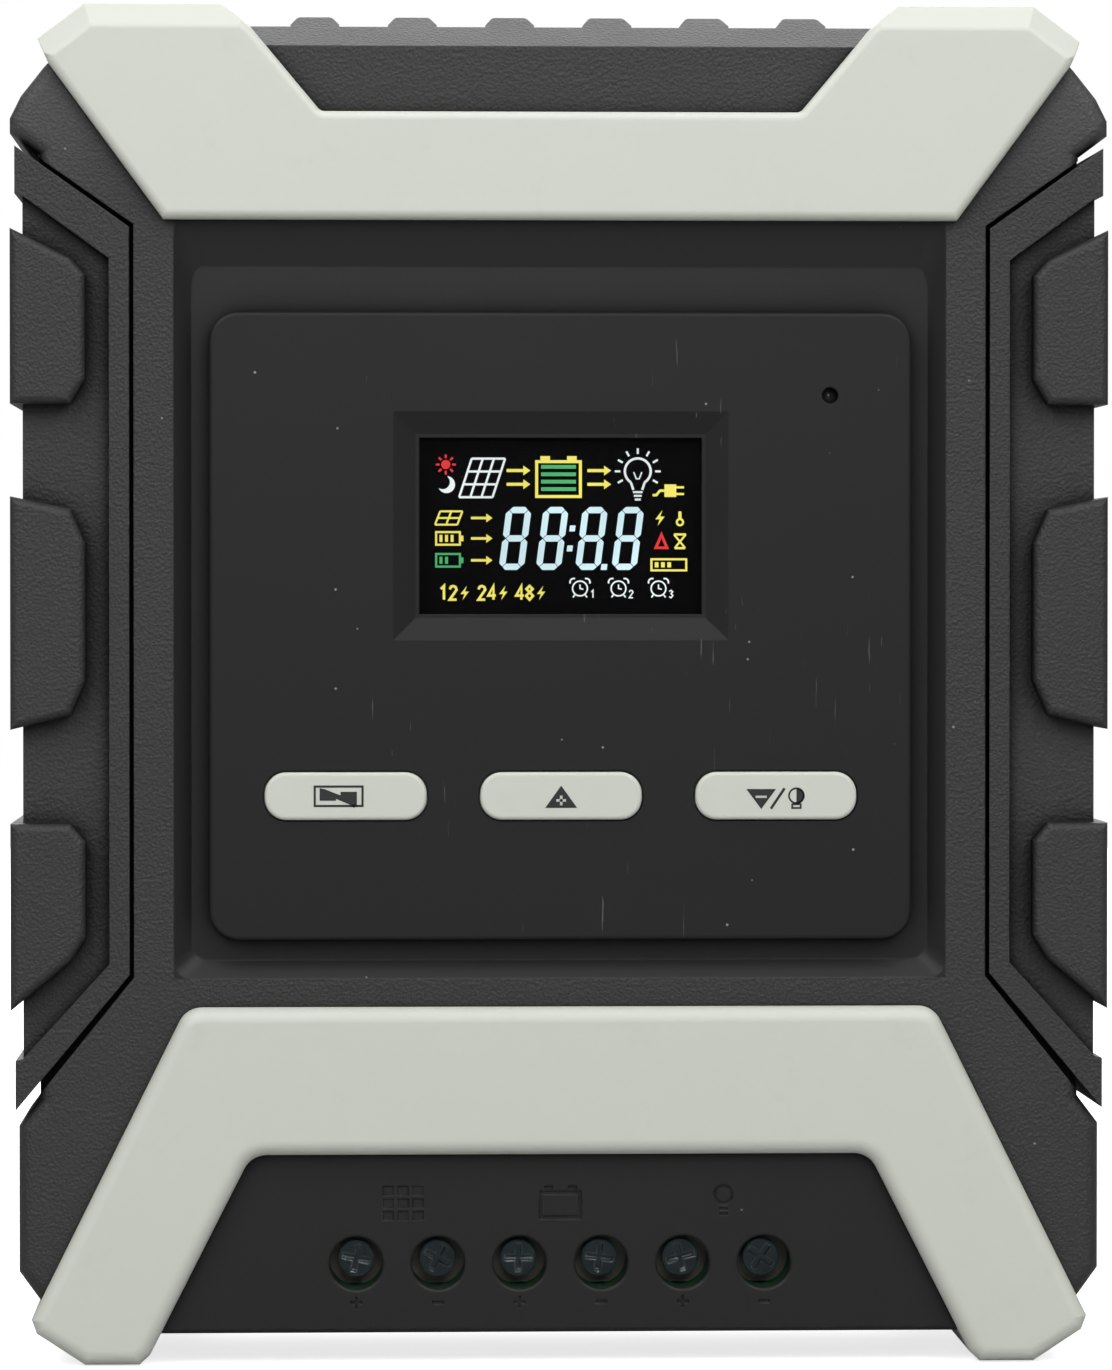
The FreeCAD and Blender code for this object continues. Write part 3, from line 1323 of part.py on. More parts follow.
def side_profile(label, outline, wide):
    """A piece of one width, from its outline seen from the side as (depth, height) pairs."""
    body = new_body(label)
    sketch = new_sketch(body, "0", "YZ_Plane")
    draw_outline(sketch, [(f"-({depth})", up) for depth, up in outline])
    pad = body.newObject("PartDesign::Pad", label + "_pad")
    pad.Profile = sketch
    pad.Midplane = True
    bind(pad, Length=wide)
    doc.recompute()
    return body


def plug_heights():
    """Lowest heights of the two plugs, on the control board and on the main board."""
    return "-PanelBoardLow + 2", "-PanelBoardLow - 12"


def board_plugs():
    upper, lower = plug_heights()
    return pieces("board_plugs", [
        block("panel_plug", "PlugWide", "PlugThick", "PlugTall", "0", "PanelBoardBack - PlugThick", upper),
        block("main_plug", "PlugWide", "PlugThick", "PlugTall", "0", "MainBack + BoardThick", lower),
    ])


def ribbon_cable():
    """A flat cable that hangs from the control board's plug down to the main board's."""
    upper, lower = plug_heights()
    panel = "PanelBoardBack - PlugThick"
    main = "MainBack + BoardThick + PlugThick"
    return side_profile("ribbon_cable", [
        (panel, f"{upper} + 3.5"),
        (f"{panel} - RibbonThick", f"{upper} + 3.5"),
        (f"{panel} - RibbonThick", f"{upper} - 2"),
        (f"{main} + RibbonThick", f"{lower} + 8"),
        (main, f"{lower} + 6.5"),
        (main, f"{lower} + 1.5"),
        (f"{main} + RibbonThick", f"{lower} + 1.5"),
        (f"{main} + RibbonThick * 1.4", f"{lower} + 6.2"),
        (panel, f"{upper} - 2.8"),
    ], "PlugWide - 2")


# ---------------------------------------------------------------- terminals

def terminal_block():
    body = new_body("terminal_block")
    grow(body, [frame_outline("BlockWide", "-BlockLow", "-BlockHigh")], "MainBack + BoardThick", "BlockFace")
    chambers = [[
        (f"{across} - ChamberWide / 2", "-BlockLow - 1"),
        (f"{across} + ChamberWide / 2", "-BlockLow - 1"),
        (f"{across} + ChamberWide / 2", "-ChamberHigh"),
        (f"{across} - ChamberWide / 2", "-ChamberHigh"),
    ] for across in pole_places()]
    cut(body, [], "BlockFace", "ChamberFront", [(x, "-PoleZ", "BoreR") for x in pole_places()])
    hollow_back(body, chambers)
    slots = [box_outline(across, "-BarHigh - BarThick / 2", "BarWide + Slack * 2", "BarThick + Slack * 2")
             for across in pole_places()]
    cut(body, slots, "ChamberBack", "MainBack + BoardThick")
    return body


def hollow_back(body, chambers):
    """The chambers, open only at the lower face, where the cables come in."""
    before = body.Shape.Volume
    sketch = new_sketch(body, "ChamberFront")
    for points in chambers:
        draw_outline(sketch, points)
    pocket = body.newObject("PartDesign::Pocket", "terminal_chambers")
    pocket.Profile = sketch
    bind(pocket, Length="ChamberFront - ChamberBack")
    doc.recompute()
    if body.Shape.Volume > before - 1:
        raise RuntimeError("the chambers removed nothing")


def current_bars():
    """Bent copper bars: one leg goes through the main board, the other runs into the clamp."""
    solids = []
    for i, across in enumerate(pole_places(), start=1):
        foot = block(f"bar_{i}_foot", "BarWide", "BarBack + BarThick - (MainBack - 1)", "BarThick", across,
                     "MainBack - 1", "-BarHigh - BarThick")
        tongue = block(f"bar_{i}_tongue", "BarWide", "BarThick", "BarLow - BarHigh", across, "BarBack",
                       "-BarLow")
        solids.append(join(f"current_bar_{i}", [foot, tongue]))
    return pieces("current_bars", solids)


def wire_clamp(number, across):
    """A cage around the current bar; its front wall is threaded on the terminal screw."""
    label = f"wire_clamp_{number}"
    low = "-PoleZ - CageTall / 2"
    case = block(f"{label}_case", "CageWide", "CageFront - CageBack", "CageTall", across, "CageBack", low)
    window = block(f"{label}_window", "CageWide - CageWall * 2", "CageRoofBack - CageBack - CageFloor",
                   "CageTall + 2", across, "CageBack + CageFloor", f"{low} - 1")
    hole = rod(f"{label}_hole", "ScrewR + ScrewGap", across, "-PoleZ", "CageRoofBack - 1", "CageFront + 1")
    clamp = remove(label, case, join(f"{label}_space", [window, hole]))
    clamp.Label = label
    return clamp


def terminal_screw(number, across, turned):
    """A cross-recessed screw; each stands at its own angle, as last left by a screwdriver."""
    label = f"terminal_screw_{number}"
    head = rod(f"{label}_head", "HeadR", across, "-PoleZ", "HeadBack", "HeadFront")
    shank = rod(f"{label}_shank", "ScrewR", across, "-PoleZ", "BarBack + BarThick + 0.05", "HeadBack")
    blank = join(f"{label}_blank", [head, shank])
    arms = []
    for arm, quarter in (("first", 0), ("second", 90)):
        box = doc.addObject("Part::Box", f"{label}_{arm}_arm")
        long = "HeadR * 1.5"
        bind(box, Length=long, Width="RecessDeep + 1", Height="RecessWide")
        turn = FreeCAD.Rotation(Vector(0, 1, 0), turned + quarter)
        box.Placement.Rotation = turn
        corner = turn.multVec(Vector(-value("HeadR") * 0.75, 0, -value("RecessWide") / 2))
        bind(box, **{
            "Placement.Base.x": f"{across} + {corner.x:.4f}",
            "Placement.Base.y": "-HeadFront - 1",
            "Placement.Base.z": f"-PoleZ + {corner.z:.4f}",
        })
        arms.append(box)
    screw_piece = remove(label, blank, join(f"{label}_recess", arms))
    screw_piece.Label = label
    return screw_piece


# ---------------------------------------------------------------- check and write

def all_parts():
    parts = [
        front_cover(), back_cover(), top_trim(), bottom_trim(),
        side_grip("left_grip", -1), side_grip("right_grip", 1), case_screws(),
        display_plate(), display_window(), display_panel(), display_backlight(), display_frame(),
        indicator_lamp(), switch_bodies(), control_board(), control_board_screws(),
        heat_sink(), heat_sink_screws(), thermal_pad(), power_transistors(), transistor_clamp_bar(),
        clamp_bar_screws(), main_board(), board_spacers(), board_screws(), capacitors(),
        inductor_core(), inductor_winding(), controller_chips(), shunt_resistor(), *fuse_parts(),
        board_plugs(), ribbon_cable(), terminal_block(), current_bars(),
    ]
    for name, across in button_places():
        parts += [button(name, across), switch_stem(name, across)]
    for number, (across, turned) in enumerate(zip(pole_places(), SCREW_ANGLES), start=1):
        parts += [wire_clamp(number, across), terminal_screw(number, across, turned)]
    return parts


def write(parts):
    doc.recompute()
    for item in doc.Objects:
        if "Invalid" in item.State or "Error" in item.State:
            raise RuntimeError(f"{item.Name} failed: {item.State}")
    for part in parts:
        if part.Shape.isNull() or not part.Shape.isValid() or not part.Shape.Solids:
            raise RuntimeError(f"{part.Label} has no valid solid")
    os.makedirs("parts", exist_ok=True)
    for part in parts:
        part.Shape.exportStep(f"parts/{part.Label}.step")
        print(f"{part.Label}: {len(part.Shape.Solids)} solid(s), {part.Shape.Volume:.1f} mm3")


write(all_parts())
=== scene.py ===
"""Looks of the solar charge controller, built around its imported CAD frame.

Lengths are in metres in the frame's own axes: +Z up, the front faces -Y, +X to the viewer's right.
Drawn marks (display, button prints) and the sizes in materials are in millimetres, and MM turns them to
metres.
"""

import json
import math

import bmesh
import bpy
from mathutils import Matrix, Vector


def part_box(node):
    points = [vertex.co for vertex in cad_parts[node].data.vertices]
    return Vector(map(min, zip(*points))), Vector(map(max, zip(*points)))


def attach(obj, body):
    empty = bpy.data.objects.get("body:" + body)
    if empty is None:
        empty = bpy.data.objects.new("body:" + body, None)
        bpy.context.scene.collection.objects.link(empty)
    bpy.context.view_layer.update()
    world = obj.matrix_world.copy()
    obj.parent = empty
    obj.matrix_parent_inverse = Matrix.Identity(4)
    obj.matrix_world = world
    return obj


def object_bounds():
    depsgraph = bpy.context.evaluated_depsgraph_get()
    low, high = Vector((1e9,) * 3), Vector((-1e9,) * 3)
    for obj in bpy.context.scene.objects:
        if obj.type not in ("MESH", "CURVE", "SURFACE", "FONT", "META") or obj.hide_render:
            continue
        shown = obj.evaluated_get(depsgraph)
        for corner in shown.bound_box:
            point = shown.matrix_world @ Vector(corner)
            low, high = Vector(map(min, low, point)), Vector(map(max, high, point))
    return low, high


MM = 0.001
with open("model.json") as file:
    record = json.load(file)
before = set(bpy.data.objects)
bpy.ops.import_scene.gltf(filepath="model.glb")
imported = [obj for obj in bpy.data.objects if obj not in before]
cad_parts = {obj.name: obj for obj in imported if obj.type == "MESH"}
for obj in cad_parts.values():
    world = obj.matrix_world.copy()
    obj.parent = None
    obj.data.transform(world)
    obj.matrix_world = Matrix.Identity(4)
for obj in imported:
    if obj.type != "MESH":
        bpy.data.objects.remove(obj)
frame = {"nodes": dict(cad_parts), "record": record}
nodes = frame["nodes"]
cad_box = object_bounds()


# ---------------------------------------------------------------- node graphs

# Places of a Mix node's colour sockets, which have the same names as its number and vector sockets.
MIX_FIRST, MIX_SECOND, MIX_RESULT = 6, 7, 2


class Paint:
    """A material's node graph: a Principled shader and short calls that add texture to it."""

    def __init__(self, name, color, roughness, metallic=0.0, specular=0.5):
        self.material = bpy.data.materials.new(name)
        self.material.use_nodes = True
        self.tree = self.material.node_tree
        self.tree.nodes.clear()
        self.shader = self.add("ShaderNodeBsdfPrincipled")
        self.output = self.add("ShaderNodeOutputMaterial")
        self.join(self.shader.outputs[0], self.output.inputs["Surface"])
        self.color = self.constant_color(color)
        self.roughness = self.number(roughness)
        self.shader.inputs["Metallic"].default_value = metallic
        self.shine = self.number(specular)
        self.normal = None
        self.millimetres = self.place()

    def add(self, kind, **settings):
        node = self.tree.nodes.new(kind)
        for name, value in settings.items():
            setattr(node, name, value)
        return node

    def join(self, source, target):
        self.tree.links.new(source, target)

    def feed(self, target, value):
        """Sets an input to a number or colour, or joins a socket to it."""
        if isinstance(value, bpy.types.NodeSocket):
            self.join(value, target)
        else:
            target.default_value = value

    def constant_color(self, color):
        node = self.add("ShaderNodeRGB")
        node.outputs[0].default_value = (*color, 1.0)
        return node.outputs[0]

    def number(self, value):
        node = self.add("ShaderNodeValue")
        node.outputs[0].default_value = value
        return node.outputs[0]

    def place(self):
        """The point in the frame, in millimetres."""
        coordinate = self.add("ShaderNodeTexCoord")
        scale = self.add("ShaderNodeVectorMath", operation="SCALE")
        self.join(coordinate.outputs["Object"], scale.inputs[0])
        scale.inputs["Scale"].default_value = 1 / MM
        return scale.outputs[0]

    def stretched(self, x, y, z):
        """The same point with each axis scaled, for grain that runs one way."""
        scale = self.add("ShaderNodeVectorMath", operation="MULTIPLY")
        self.join(self.millimetres, scale.inputs[0])
        scale.inputs[1].default_value = (x, y, z)
        return scale.outputs[0]

    def noise(self, scale, detail=3.0, roughness=0.55, where=None):
        node = self.add("ShaderNodeTexNoise")
        self.join(where or self.millimetres, node.inputs["Vector"])
        node.inputs["Scale"].default_value = scale
        node.inputs["Detail"].default_value = detail
        node.inputs["Roughness"].default_value = roughness
        return node.outputs[0]

    def cells(self, scale, feature="F1", output="Distance"):
        node = self.add("ShaderNodeTexVoronoi", feature=feature)
        self.join(self.millimetres, node.inputs["Vector"])
        node.inputs["Scale"].default_value = scale
        return node.outputs[output]

    def math(self, operation, a, b=0.0):
        node = self.add("ShaderNodeMath", operation=operation)
        self.feed(node.inputs[0], a)
        self.feed(node.inputs[1], b)
        return node.outputs[0]

    def remap(self, value, low, high, to_low=0.0, to_high=1.0):
        """Takes low to to_low and high to to_high, and holds still outside them."""
        node = self.add("ShaderNodeMapRange", clamp=True)
        self.feed(node.inputs["Value"], value)
        for name, setting in (("From Min", low), ("From Max", high),
                              ("To Min", to_low), ("To Max", to_high)):
            self.feed(node.inputs[name], setting)
        return node.outputs[0]

    def blend(self, share, first, second):
        """The first colour at share 0 and the second at share 1."""
        node = self.add("ShaderNodeMix", data_type="RGBA")
        self.feed(node.inputs["Factor"], share)
        for socket, value in ((MIX_FIRST, first), (MIX_SECOND, second)):
            self.feed(node.inputs[socket], (*value, 1.0) if isinstance(value, tuple) else value)
        return node.outputs[MIX_RESULT]

    def axis(self, letter):
        node = self.add("ShaderNodeSeparateXYZ")
        self.join(self.millimetres, node.inputs[0])
        return node.outputs[letter]

    def soft_edges(self, radius):
        """Rounds the normals near sharp edges over a radius in millimetres, as a mould does."""
        node = self.add("ShaderNodeBevel", samples=4)
        node.inputs["Radius"].default_value = radius * MM
        if self.normal is not None:
            self.join(self.normal, node.inputs["Normal"])
        self.normal = node.outputs[0]

    def bump(self, height, strength, depth):
        """Adds relief of a depth in millimetres."""
        node = self.add("ShaderNodeBump")
        node.inputs["Distance"].default_value = depth * MM
        self.feed(node.inputs["Strength"], strength)
        self.join(height, node.inputs["Height"])
        if self.normal is not None:
            self.join(self.normal, node.inputs["Normal"])
        self.normal = node.outputs[0]

    def tint(self, share, color):
        """Moves the colour towards another by a share from 0 to 1."""
        self.color = self.blend(share, self.color, color)

    def rougher(self, value, low, high):
        """Varies the roughness by low to high over a 0 to 1 value."""
        self.roughness = self.math("ADD", self.roughness, self.remap(value, 0, 1, low, high))

    def finish(self):
        self.join(self.color, self.shader.inputs["Base Color"])
        self.join(self.roughness, self.shader.inputs["Roughness"])
        self.join(self.shine, self.shader.inputs["Specular IOR Level"])
        if self.normal is not None:
            self.join(self.normal, self.shader.inputs["Normal"])
        return self.material


WORN_WIDTH = 0.35
# How far a rounded normal agrees with the true one, as a cosine, on a plain face and on a worn edge.
FACE_AGREES, EDGE_AGREES = 0.99, 0.86
# Share of the space around a point that is free, for the painted crevice shade: in a deep corner and
# where a surface counts as open.
CORNER_FREE, OPEN_FREE = 0.38, 0.88


def specks(paint, scale, chance, size):
    """Sparse round specks: 1 inside a speck, 0 elsewhere. Chance is the share of cells that hold one."""
    distance = paint.cells(scale)
    draw = paint.cells(scale, output="Color")
    picked = paint.math("LESS_THAN", draw, chance)
    inside = paint.remap(distance, size, size * 0.4)
    return paint.math("MULTIPLY", picked, inside)


def scratches(paint, across, along, thin):
    """Short hairlines that run upright, in a few patches only."""
    where = paint.stretched(across, 1.0, along)
    lines = paint.noise(1.0, detail=2.0, where=where)
    patches = paint.noise(0.05, detail=1.0)
    gate = paint.remap(patches, 0.56, 0.66)
    return paint.math("MULTIPLY", paint.remap(lines, thin, thin + 0.03), gate)


def worn_edges(paint, color, share, cover=0.0):
    """A paler broken tone along sharp edges, found where a rounded normal leaves the true one.

    The tone covers about half of the edges, and more of them with a larger cover.
    """
    rounded = paint.add("ShaderNodeBevel", samples=4)
    rounded.inputs["Radius"].default_value = WORN_WIDTH * MM
    geometry = paint.add("ShaderNodeNewGeometry")
    agreement = paint.add("ShaderNodeVectorMath", operation="DOT_PRODUCT")
    paint.join(rounded.outputs[0], agreement.inputs[0])
    paint.join(geometry.outputs["Normal"], agreement.inputs[1])
    edge = paint.remap(agreement.outputs["Value"], FACE_AGREES, EDGE_AGREES)
    patches = paint.remap(paint.noise(0.6), 0.4 - cover, 0.6 - cover)
    broken = paint.math("MULTIPLY", edge, patches)
    paint.tint(paint.math("MULTIPLY", broken, share), color)


def crevice_shade(paint, reach, least):
    """Paints shade into deep corners and narrow gaps, in colour and in shine, down to a least share of
    both.
    """
    shade = paint.add("ShaderNodeAmbientOcclusion", samples=6)
    shade.inputs["Distance"].default_value = reach * MM
    open_share = paint.remap(shade.outputs["AO"], CORNER_FREE, OPEN_FREE, least, 1.0)
    paint.tint(paint.math("SUBTRACT", 1.0, open_share), DEEP_SHADE)
    paint.shine = paint.math("MULTIPLY", open_share, paint.shine)


# ---------------------------------------------------------------- materials

BLACK = (0.024, 0.024, 0.0245)
PLATE = (0.0142, 0.0142, 0.0145)
PALE = (0.625, 0.645, 0.58)
DEEP_SHADE = (0.002, 0.002, 0.002)
WORN_BLACK = (0.09, 0.09, 0.09)
CORNER_HIGHLIGHT_BLACK = (0.08, 0.081, 0.083)
WORN_METAL = (0.9, 0.92, 0.92)

MOULD_GRAIN = 0.42
# The smooth parts of the front cover: the dish around the plate and the terminal fascia.
DISH = {"half_wide": 52.0, "low": -39.5, "high": 63.0}
FASCIA = {"half_wide": 56.0, "low": -95.0, "high": -63.0}
# Distances from the middle, out and up, between which the painted highlight on the upper corners grows.
CORNER_HIGHLIGHT_OUT = (54, 66)
CORNER_HIGHLIGHT_UP = (64, 80)


def grain(paint, size, strength, depth):
    """Spark-eroded grain: small soft cells under a finer noise."""
    cell = paint.cells(1 / size, feature="SMOOTH_F1")
    fine = paint.noise(2.6 / size, detail=4.0, roughness=0.6)
    paint.bump(paint.math("ADD", cell, paint.math("MULTIPLY", fine, 0.7)), strength, depth)


def box_mask(paint, half_wide, low, high):
    """1 inside an upright rectangle about the middle, seen from the front, 0 outside."""
    soft = 0.15
    across = paint.math("ABSOLUTE", paint.axis("X"))
    up = paint.axis("Z")
    sides = paint.remap(across, half_wide + soft, half_wide - soft)
    bottom = paint.remap(up, low - soft, low + soft)
    top = paint.remap(up, high + soft, high - soft)
    return paint.math("MULTIPLY", sides, paint.math("MULTIPLY", bottom, top))


def upper_corner_highlight(paint):
    """1 on the shell's two upper corners, where a painted highlight makes the grain palest, 0 elsewhere.
    """
    outward = paint.remap(paint.math("ABSOLUTE", paint.axis("X")), *CORNER_HIGHLIGHT_OUT)
    upward = paint.remap(paint.axis("Z"), *CORNER_HIGHLIGHT_UP)
    return paint.math("MULTIPLY", outward, upward)


def cover_material():
    """Grained black shell that is smooth in the dish and on the terminal fascia."""
    paint = Paint("black_shell", BLACK, 0.46)
    paint.soft_edges(0.35)
    smooth = paint.math("MAXIMUM", box_mask(paint, **DISH), box_mask(paint, **FASCIA))
    strength = paint.remap(smooth, 0, 1, 1.0, 0.05)
    grain(paint, MOULD_GRAIN, strength, depth=0.14)
    paint.rougher(smooth, 0.0, -0.06)
    paint.rougher(paint.noise(0.08, detail=2.0), -0.04, 0.04)
    paint.tint(paint.math("MULTIPLY", smooth, 0.85), PLATE)
    paint.shine = paint.remap(smooth, 0, 1, 0.5, 0.26)
    # Painted highlight on the two upper corners: a paler black.
    paint.tint(paint.math("MULTIPLY", upper_corner_highlight(paint), 0.6), CORNER_HIGHLIGHT_BLACK)
    dust = specks(paint, scale=0.33, chance=0.16, size=0.075)
    paint.tint(paint.math("MULTIPLY", dust, 0.55), (0.4, 0.4, 0.4))
    worn_edges(paint, WORN_BLACK, 0.5)
    # Painted shade in the deep corners and narrow gaps of the shell.
    crevice_shade(paint, reach=4.5, least=0.1)
    return paint.finish()


def grip_material():
    """The same grained black all over, for the side grips."""
    paint = Paint("grip_shell", BLACK, 0.48)
    paint.soft_edges(0.3)
    grain(paint, MOULD_GRAIN, strength=1.0, depth=0.14)
    paint.rougher(paint.noise(0.08, detail=2.0), -0.04, 0.04)
    worn_edges(paint, WORN_BLACK, 0.6)
    # Painted shade in the deep corners and narrow gaps of the grips.
    crevice_shade(paint, reach=6.0, least=0.05)
    return paint.finish()


def plate_material():
    """Smooth satin plate with a few specks of dust and hairlines."""
    paint = Paint("plate_black", PLATE, 0.42, specular=0.22)
    paint.soft_edges(0.25)
    paint.bump(paint.noise(3.5, detail=4.0), strength=0.10, depth=0.03)
    paint.rougher(paint.noise(0.05, detail=3.0), -0.05, 0.05)
    dust = specks(paint, scale=0.36, chance=0.12, size=0.08)
    paint.tint(paint.math("MULTIPLY", dust, 0.7), (0.5, 0.5, 0.5))
    hairlines = scratches(paint, across=2.4, along=0.12, thin=0.70)
    paint.tint(paint.math("MULTIPLY", hairlines, 0.5), (0.2, 0.2, 0.2))
    return paint.finish()


def pale_material(name):
    """Off-white moulding with a fine grain and a trace of handling marks."""
    paint = Paint(name, PALE, 0.44)
    paint.soft_edges(0.3)
    grain(paint, MOULD_GRAIN, strength=0.10, depth=0.04)
    paler = paint.remap(paint.noise(0.03, detail=3.0), 0.35, 0.7, 0.0, 0.25)
    paint.tint(paler, (0.66, 0.665, 0.61))
    smudge = paint.remap(paint.noise(0.12, detail=5.0, roughness=0.7), 0.60, 0.75)
    paint.tint(paint.math("MULTIPLY", smudge, 0.12), (0.42, 0.42, 0.37))
    dirt = specks(paint, scale=0.21, chance=0.10, size=0.05)
    paint.tint(paint.math("MULTIPLY", dirt, 0.4), (0.12, 0.12, 0.11))
    paint.rougher(paint.noise(0.1, detail=3.0), -0.05, 0.06)
    return paint.finish()


def glass_material():
    """Clear pane: lets the display through and keeps a faint reflection."""
    paint = Paint("clear_window", (0.02, 0.02, 0.02), 0.05)
    clear = paint.add("ShaderNodeBsdfTransparent")
    gloss = paint.add("ShaderNodeBsdfGlossy")
    gloss.inputs["Roughness"].default_value = 0.06
    paint.bump(paint.noise(0.15, detail=2.0), strength=0.05, depth=0.02)
    paint.join(paint.normal, gloss.inputs["Normal"])
    mirror = paint.add("ShaderNodeFresnel")
    mirror.inputs["IOR"].default_value = 1.12
    mix = paint.add("ShaderNodeMixShader")
    paint.join(mirror.outputs[0], mix.inputs[0])
    paint.join(clear.outputs[0], mix.inputs[1])
    paint.join(gloss.outputs[0], mix.inputs[2])
    paint.join(mix.outputs[0], paint.output.inputs["Surface"])
    return paint.material


def display_material():
    """Unlit display: almost black, with the faint ghost of its segments' electrodes."""
    paint = Paint("display_glass", (0.0022, 0.0022, 0.0026), 0.2, specular=0.04)
    ghost = paint.noise(0.7, detail=1.0)
    paint.tint(paint.remap(ghost, 0.5, 0.8, 0.0, 0.4), (0.004, 0.004, 0.006))
    return paint.finish()


def lit_material(name, color, power):
    """A lit display mark, a little uneven like a backlight."""
    paint = Paint(name, (0.0, 0.0, 0.0), 0.5)
    uneven = paint.remap(paint.noise(0.12, detail=1.0), 0.3, 0.7, 0.9, 1.06)
    paint.feed(paint.shader.inputs["Emission Color"], (*color, 1.0))
    paint.join(paint.math("MULTIPLY", uneven, power), paint.shader.inputs["Emission Strength"])
    return paint.finish()


def ink_material():
    """Flat black print with a trace of its screen."""
    paint = Paint("black_ink", (0.014, 0.014, 0.014), 0.5)
    paint.bump(paint.noise(6.0), strength=0.1, depth=0.01)
    paint.rougher(paint.noise(1.5), -0.05, 0.05)
    return paint.finish()


def darker(color, share):
    return tuple(share * part for part in color)


def metal_material(name, color, roughness, turned=False, wear=0.6, soft=0.12):
    """Plated or plain metal with fine tool marks and bright worn edges."""
    paint = Paint(name, color, roughness, metallic=1.0)
    paint.soft_edges(soft)
    where = paint.stretched(1.0, 6.0, 1.0) if turned else paint.stretched(6.0, 6.0, 0.25)
    paint.bump(paint.noise(2.5, detail=3.0, where=where), strength=0.2, depth=0.03)
    paint.rougher(paint.noise(0.8, detail=4.0), -0.08, 0.12)
    dull = paint.remap(paint.noise(0.5, detail=4.0), 0.45, 0.75, 0.0, 0.5)
    paint.tint(dull, darker(color, 0.6))
    worn_edges(paint, WORN_METAL, wear, cover=0.12)
    return paint.finish()


def plain_moulding(name, color, roughness):
    """Small moulded parts: a little grain, a little unevenness."""
    paint = Paint(name, color, roughness)
    paint.soft_edges(0.12)
    grain(paint, size=0.5, strength=0.12, depth=0.03)
    paint.rougher(paint.noise(0.4, detail=3.0), -0.05, 0.08)
    dull = paint.remap(paint.noise(0.25, detail=3.0), 0.4, 0.75, 0.0, 0.15)
    paint.tint(dull, darker(color, 0.5))
    return paint.finish()


def board_material():
    """Green solder mask over copper tracks."""
    paint = Paint("circuit_board", (0.012, 0.075, 0.030), 0.3)
    lanes = paint.cells(0.28, feature="DISTANCE_TO_EDGE")
    track = paint.remap(lanes, 0.10, 0.07)
    paint.tint(paint.math("MULTIPLY", track, 0.6), (0.03, 0.16, 0.06))
    pads = specks(paint, scale=0.45, chance=0.5, size=0.16)
    paint.tint(pads, (0.55, 0.54, 0.5))
    paint.bump(track, strength=0.4, depth=0.04)
    paint.rougher(paint.noise(0.5), -0.05, 0.1)
    return paint.finish()


def ribbon_material():
    """Grey ribbon with its cores showing as ridges and painted shade in the valleys between them."""
    paint = Paint("cable_grey", (0.33, 0.34, 0.36), 0.45)
    wave = paint.add("ShaderNodeTexWave", bands_direction="X")
    paint.join(paint.millimetres, wave.inputs["Vector"])
    wave.inputs["Scale"].default_value = 0.25
    paint.bump(wave.outputs["Fac"], strength=0.8, depth=0.3)
    # Painted shade in the valleys between the cores.
    valley_shade = paint.remap(wave.outputs["Fac"], 0.3, 0.0, 0.0, 0.5)
    paint.tint(valley_shade, (0.12, 0.12, 0.13))
    return paint.finish()


MATERIALS = {
    "black_shell": cover_material(),
    "grip_shell": grip_material(),
    "plate_black": plate_material(),
    "pale_trim": pale_material("pale_trim"),
    "pale_button": pale_material("pale_button"),
    "clear_window": glass_material(),
    "display_glass": display_material(),
    "light_guide": plain_moulding("light_guide", (0.8, 0.82, 0.85), 0.5),
    "lamp": plain_moulding("lamp", (0.05, 0.055, 0.05), 0.15),
    "switch_black": plain_moulding("switch_black", (0.02, 0.02, 0.02), 0.35),
    "circuit_board": board_material(),
    "steel_screw": metal_material("steel_screw", (0.56, 0.56, 0.55), 0.32, turned=True),
    "blued_screw": metal_material("blued_screw", (0.034, 0.046, 0.052), 0.2, turned=True, wear=1.0,
                                   soft=0.3),
    "heat_sink": metal_material("heat_sink", (0.66, 0.67, 0.68), 0.42, wear=0.3),
    "thermal_pad": plain_moulding("thermal_pad", (0.42, 0.46, 0.52), 0.8),
    "epoxy": plain_moulding("epoxy", (0.018, 0.018, 0.018), 0.55),
    "capacitor_sleeve": plain_moulding("capacitor_sleeve", (0.012, 0.016, 0.06), 0.25),
    "ferrite": plain_moulding("ferrite", (0.04, 0.12, 0.06), 0.4),
    "copper": metal_material("copper", (0.72, 0.33, 0.16), 0.3, wear=0.2),
    "tinned_copper": metal_material("tinned_copper", (0.20, 0.19, 0.17), 0.42, wear=0.3),
    "fuse_amber": plain_moulding("fuse_amber", (0.65, 0.30, 0.02), 0.25),
    "terminal_green": plain_moulding("terminal_green", (0.012, 0.10, 0.035), 0.45),
    "nylon": plain_moulding("nylon", (0.72, 0.71, 0.64), 0.5),
    "cable_grey": ribbon_material(),
}


def dress_nodes():
    """Gives each CAD node the material its record slot names."""
    for row in frame["record"]["subparts"]:
        mesh = nodes[row["node"]].data
        mesh.materials.clear()
        mesh.materials.append(MATERIALS[row["material_slot"]])


dress_nodes()


# ---------------------------------------------------------------- flat marks

def ring_points(x, z, radius, count=28, start=0.0, sweep=360.0):
    """Points along an arc. Start and sweep are in degrees; a full ring doesn't repeat its first point."""
    closed = abs(sweep) >= 360
    steps = count if closed else count - 1
    return [
        (x + radius * math.cos(math.radians(start + sweep * i / steps)),
         z + radius * math.sin(math.radians(start + sweep * i / steps)))
        for i in range(count)
    ]


def rectangle(x, z, wide, tall):
    """The corners of a rectangle about its middle."""
    return [(x - wide / 2, z - tall / 2), (x + wide / 2, z - tall / 2),
            (x + wide / 2, z + tall / 2), (x - wide / 2, z + tall / 2)]


# A mitre grows no longer once the cosine of half the turn falls below this.
SHARPEST_MITRE = 0.35


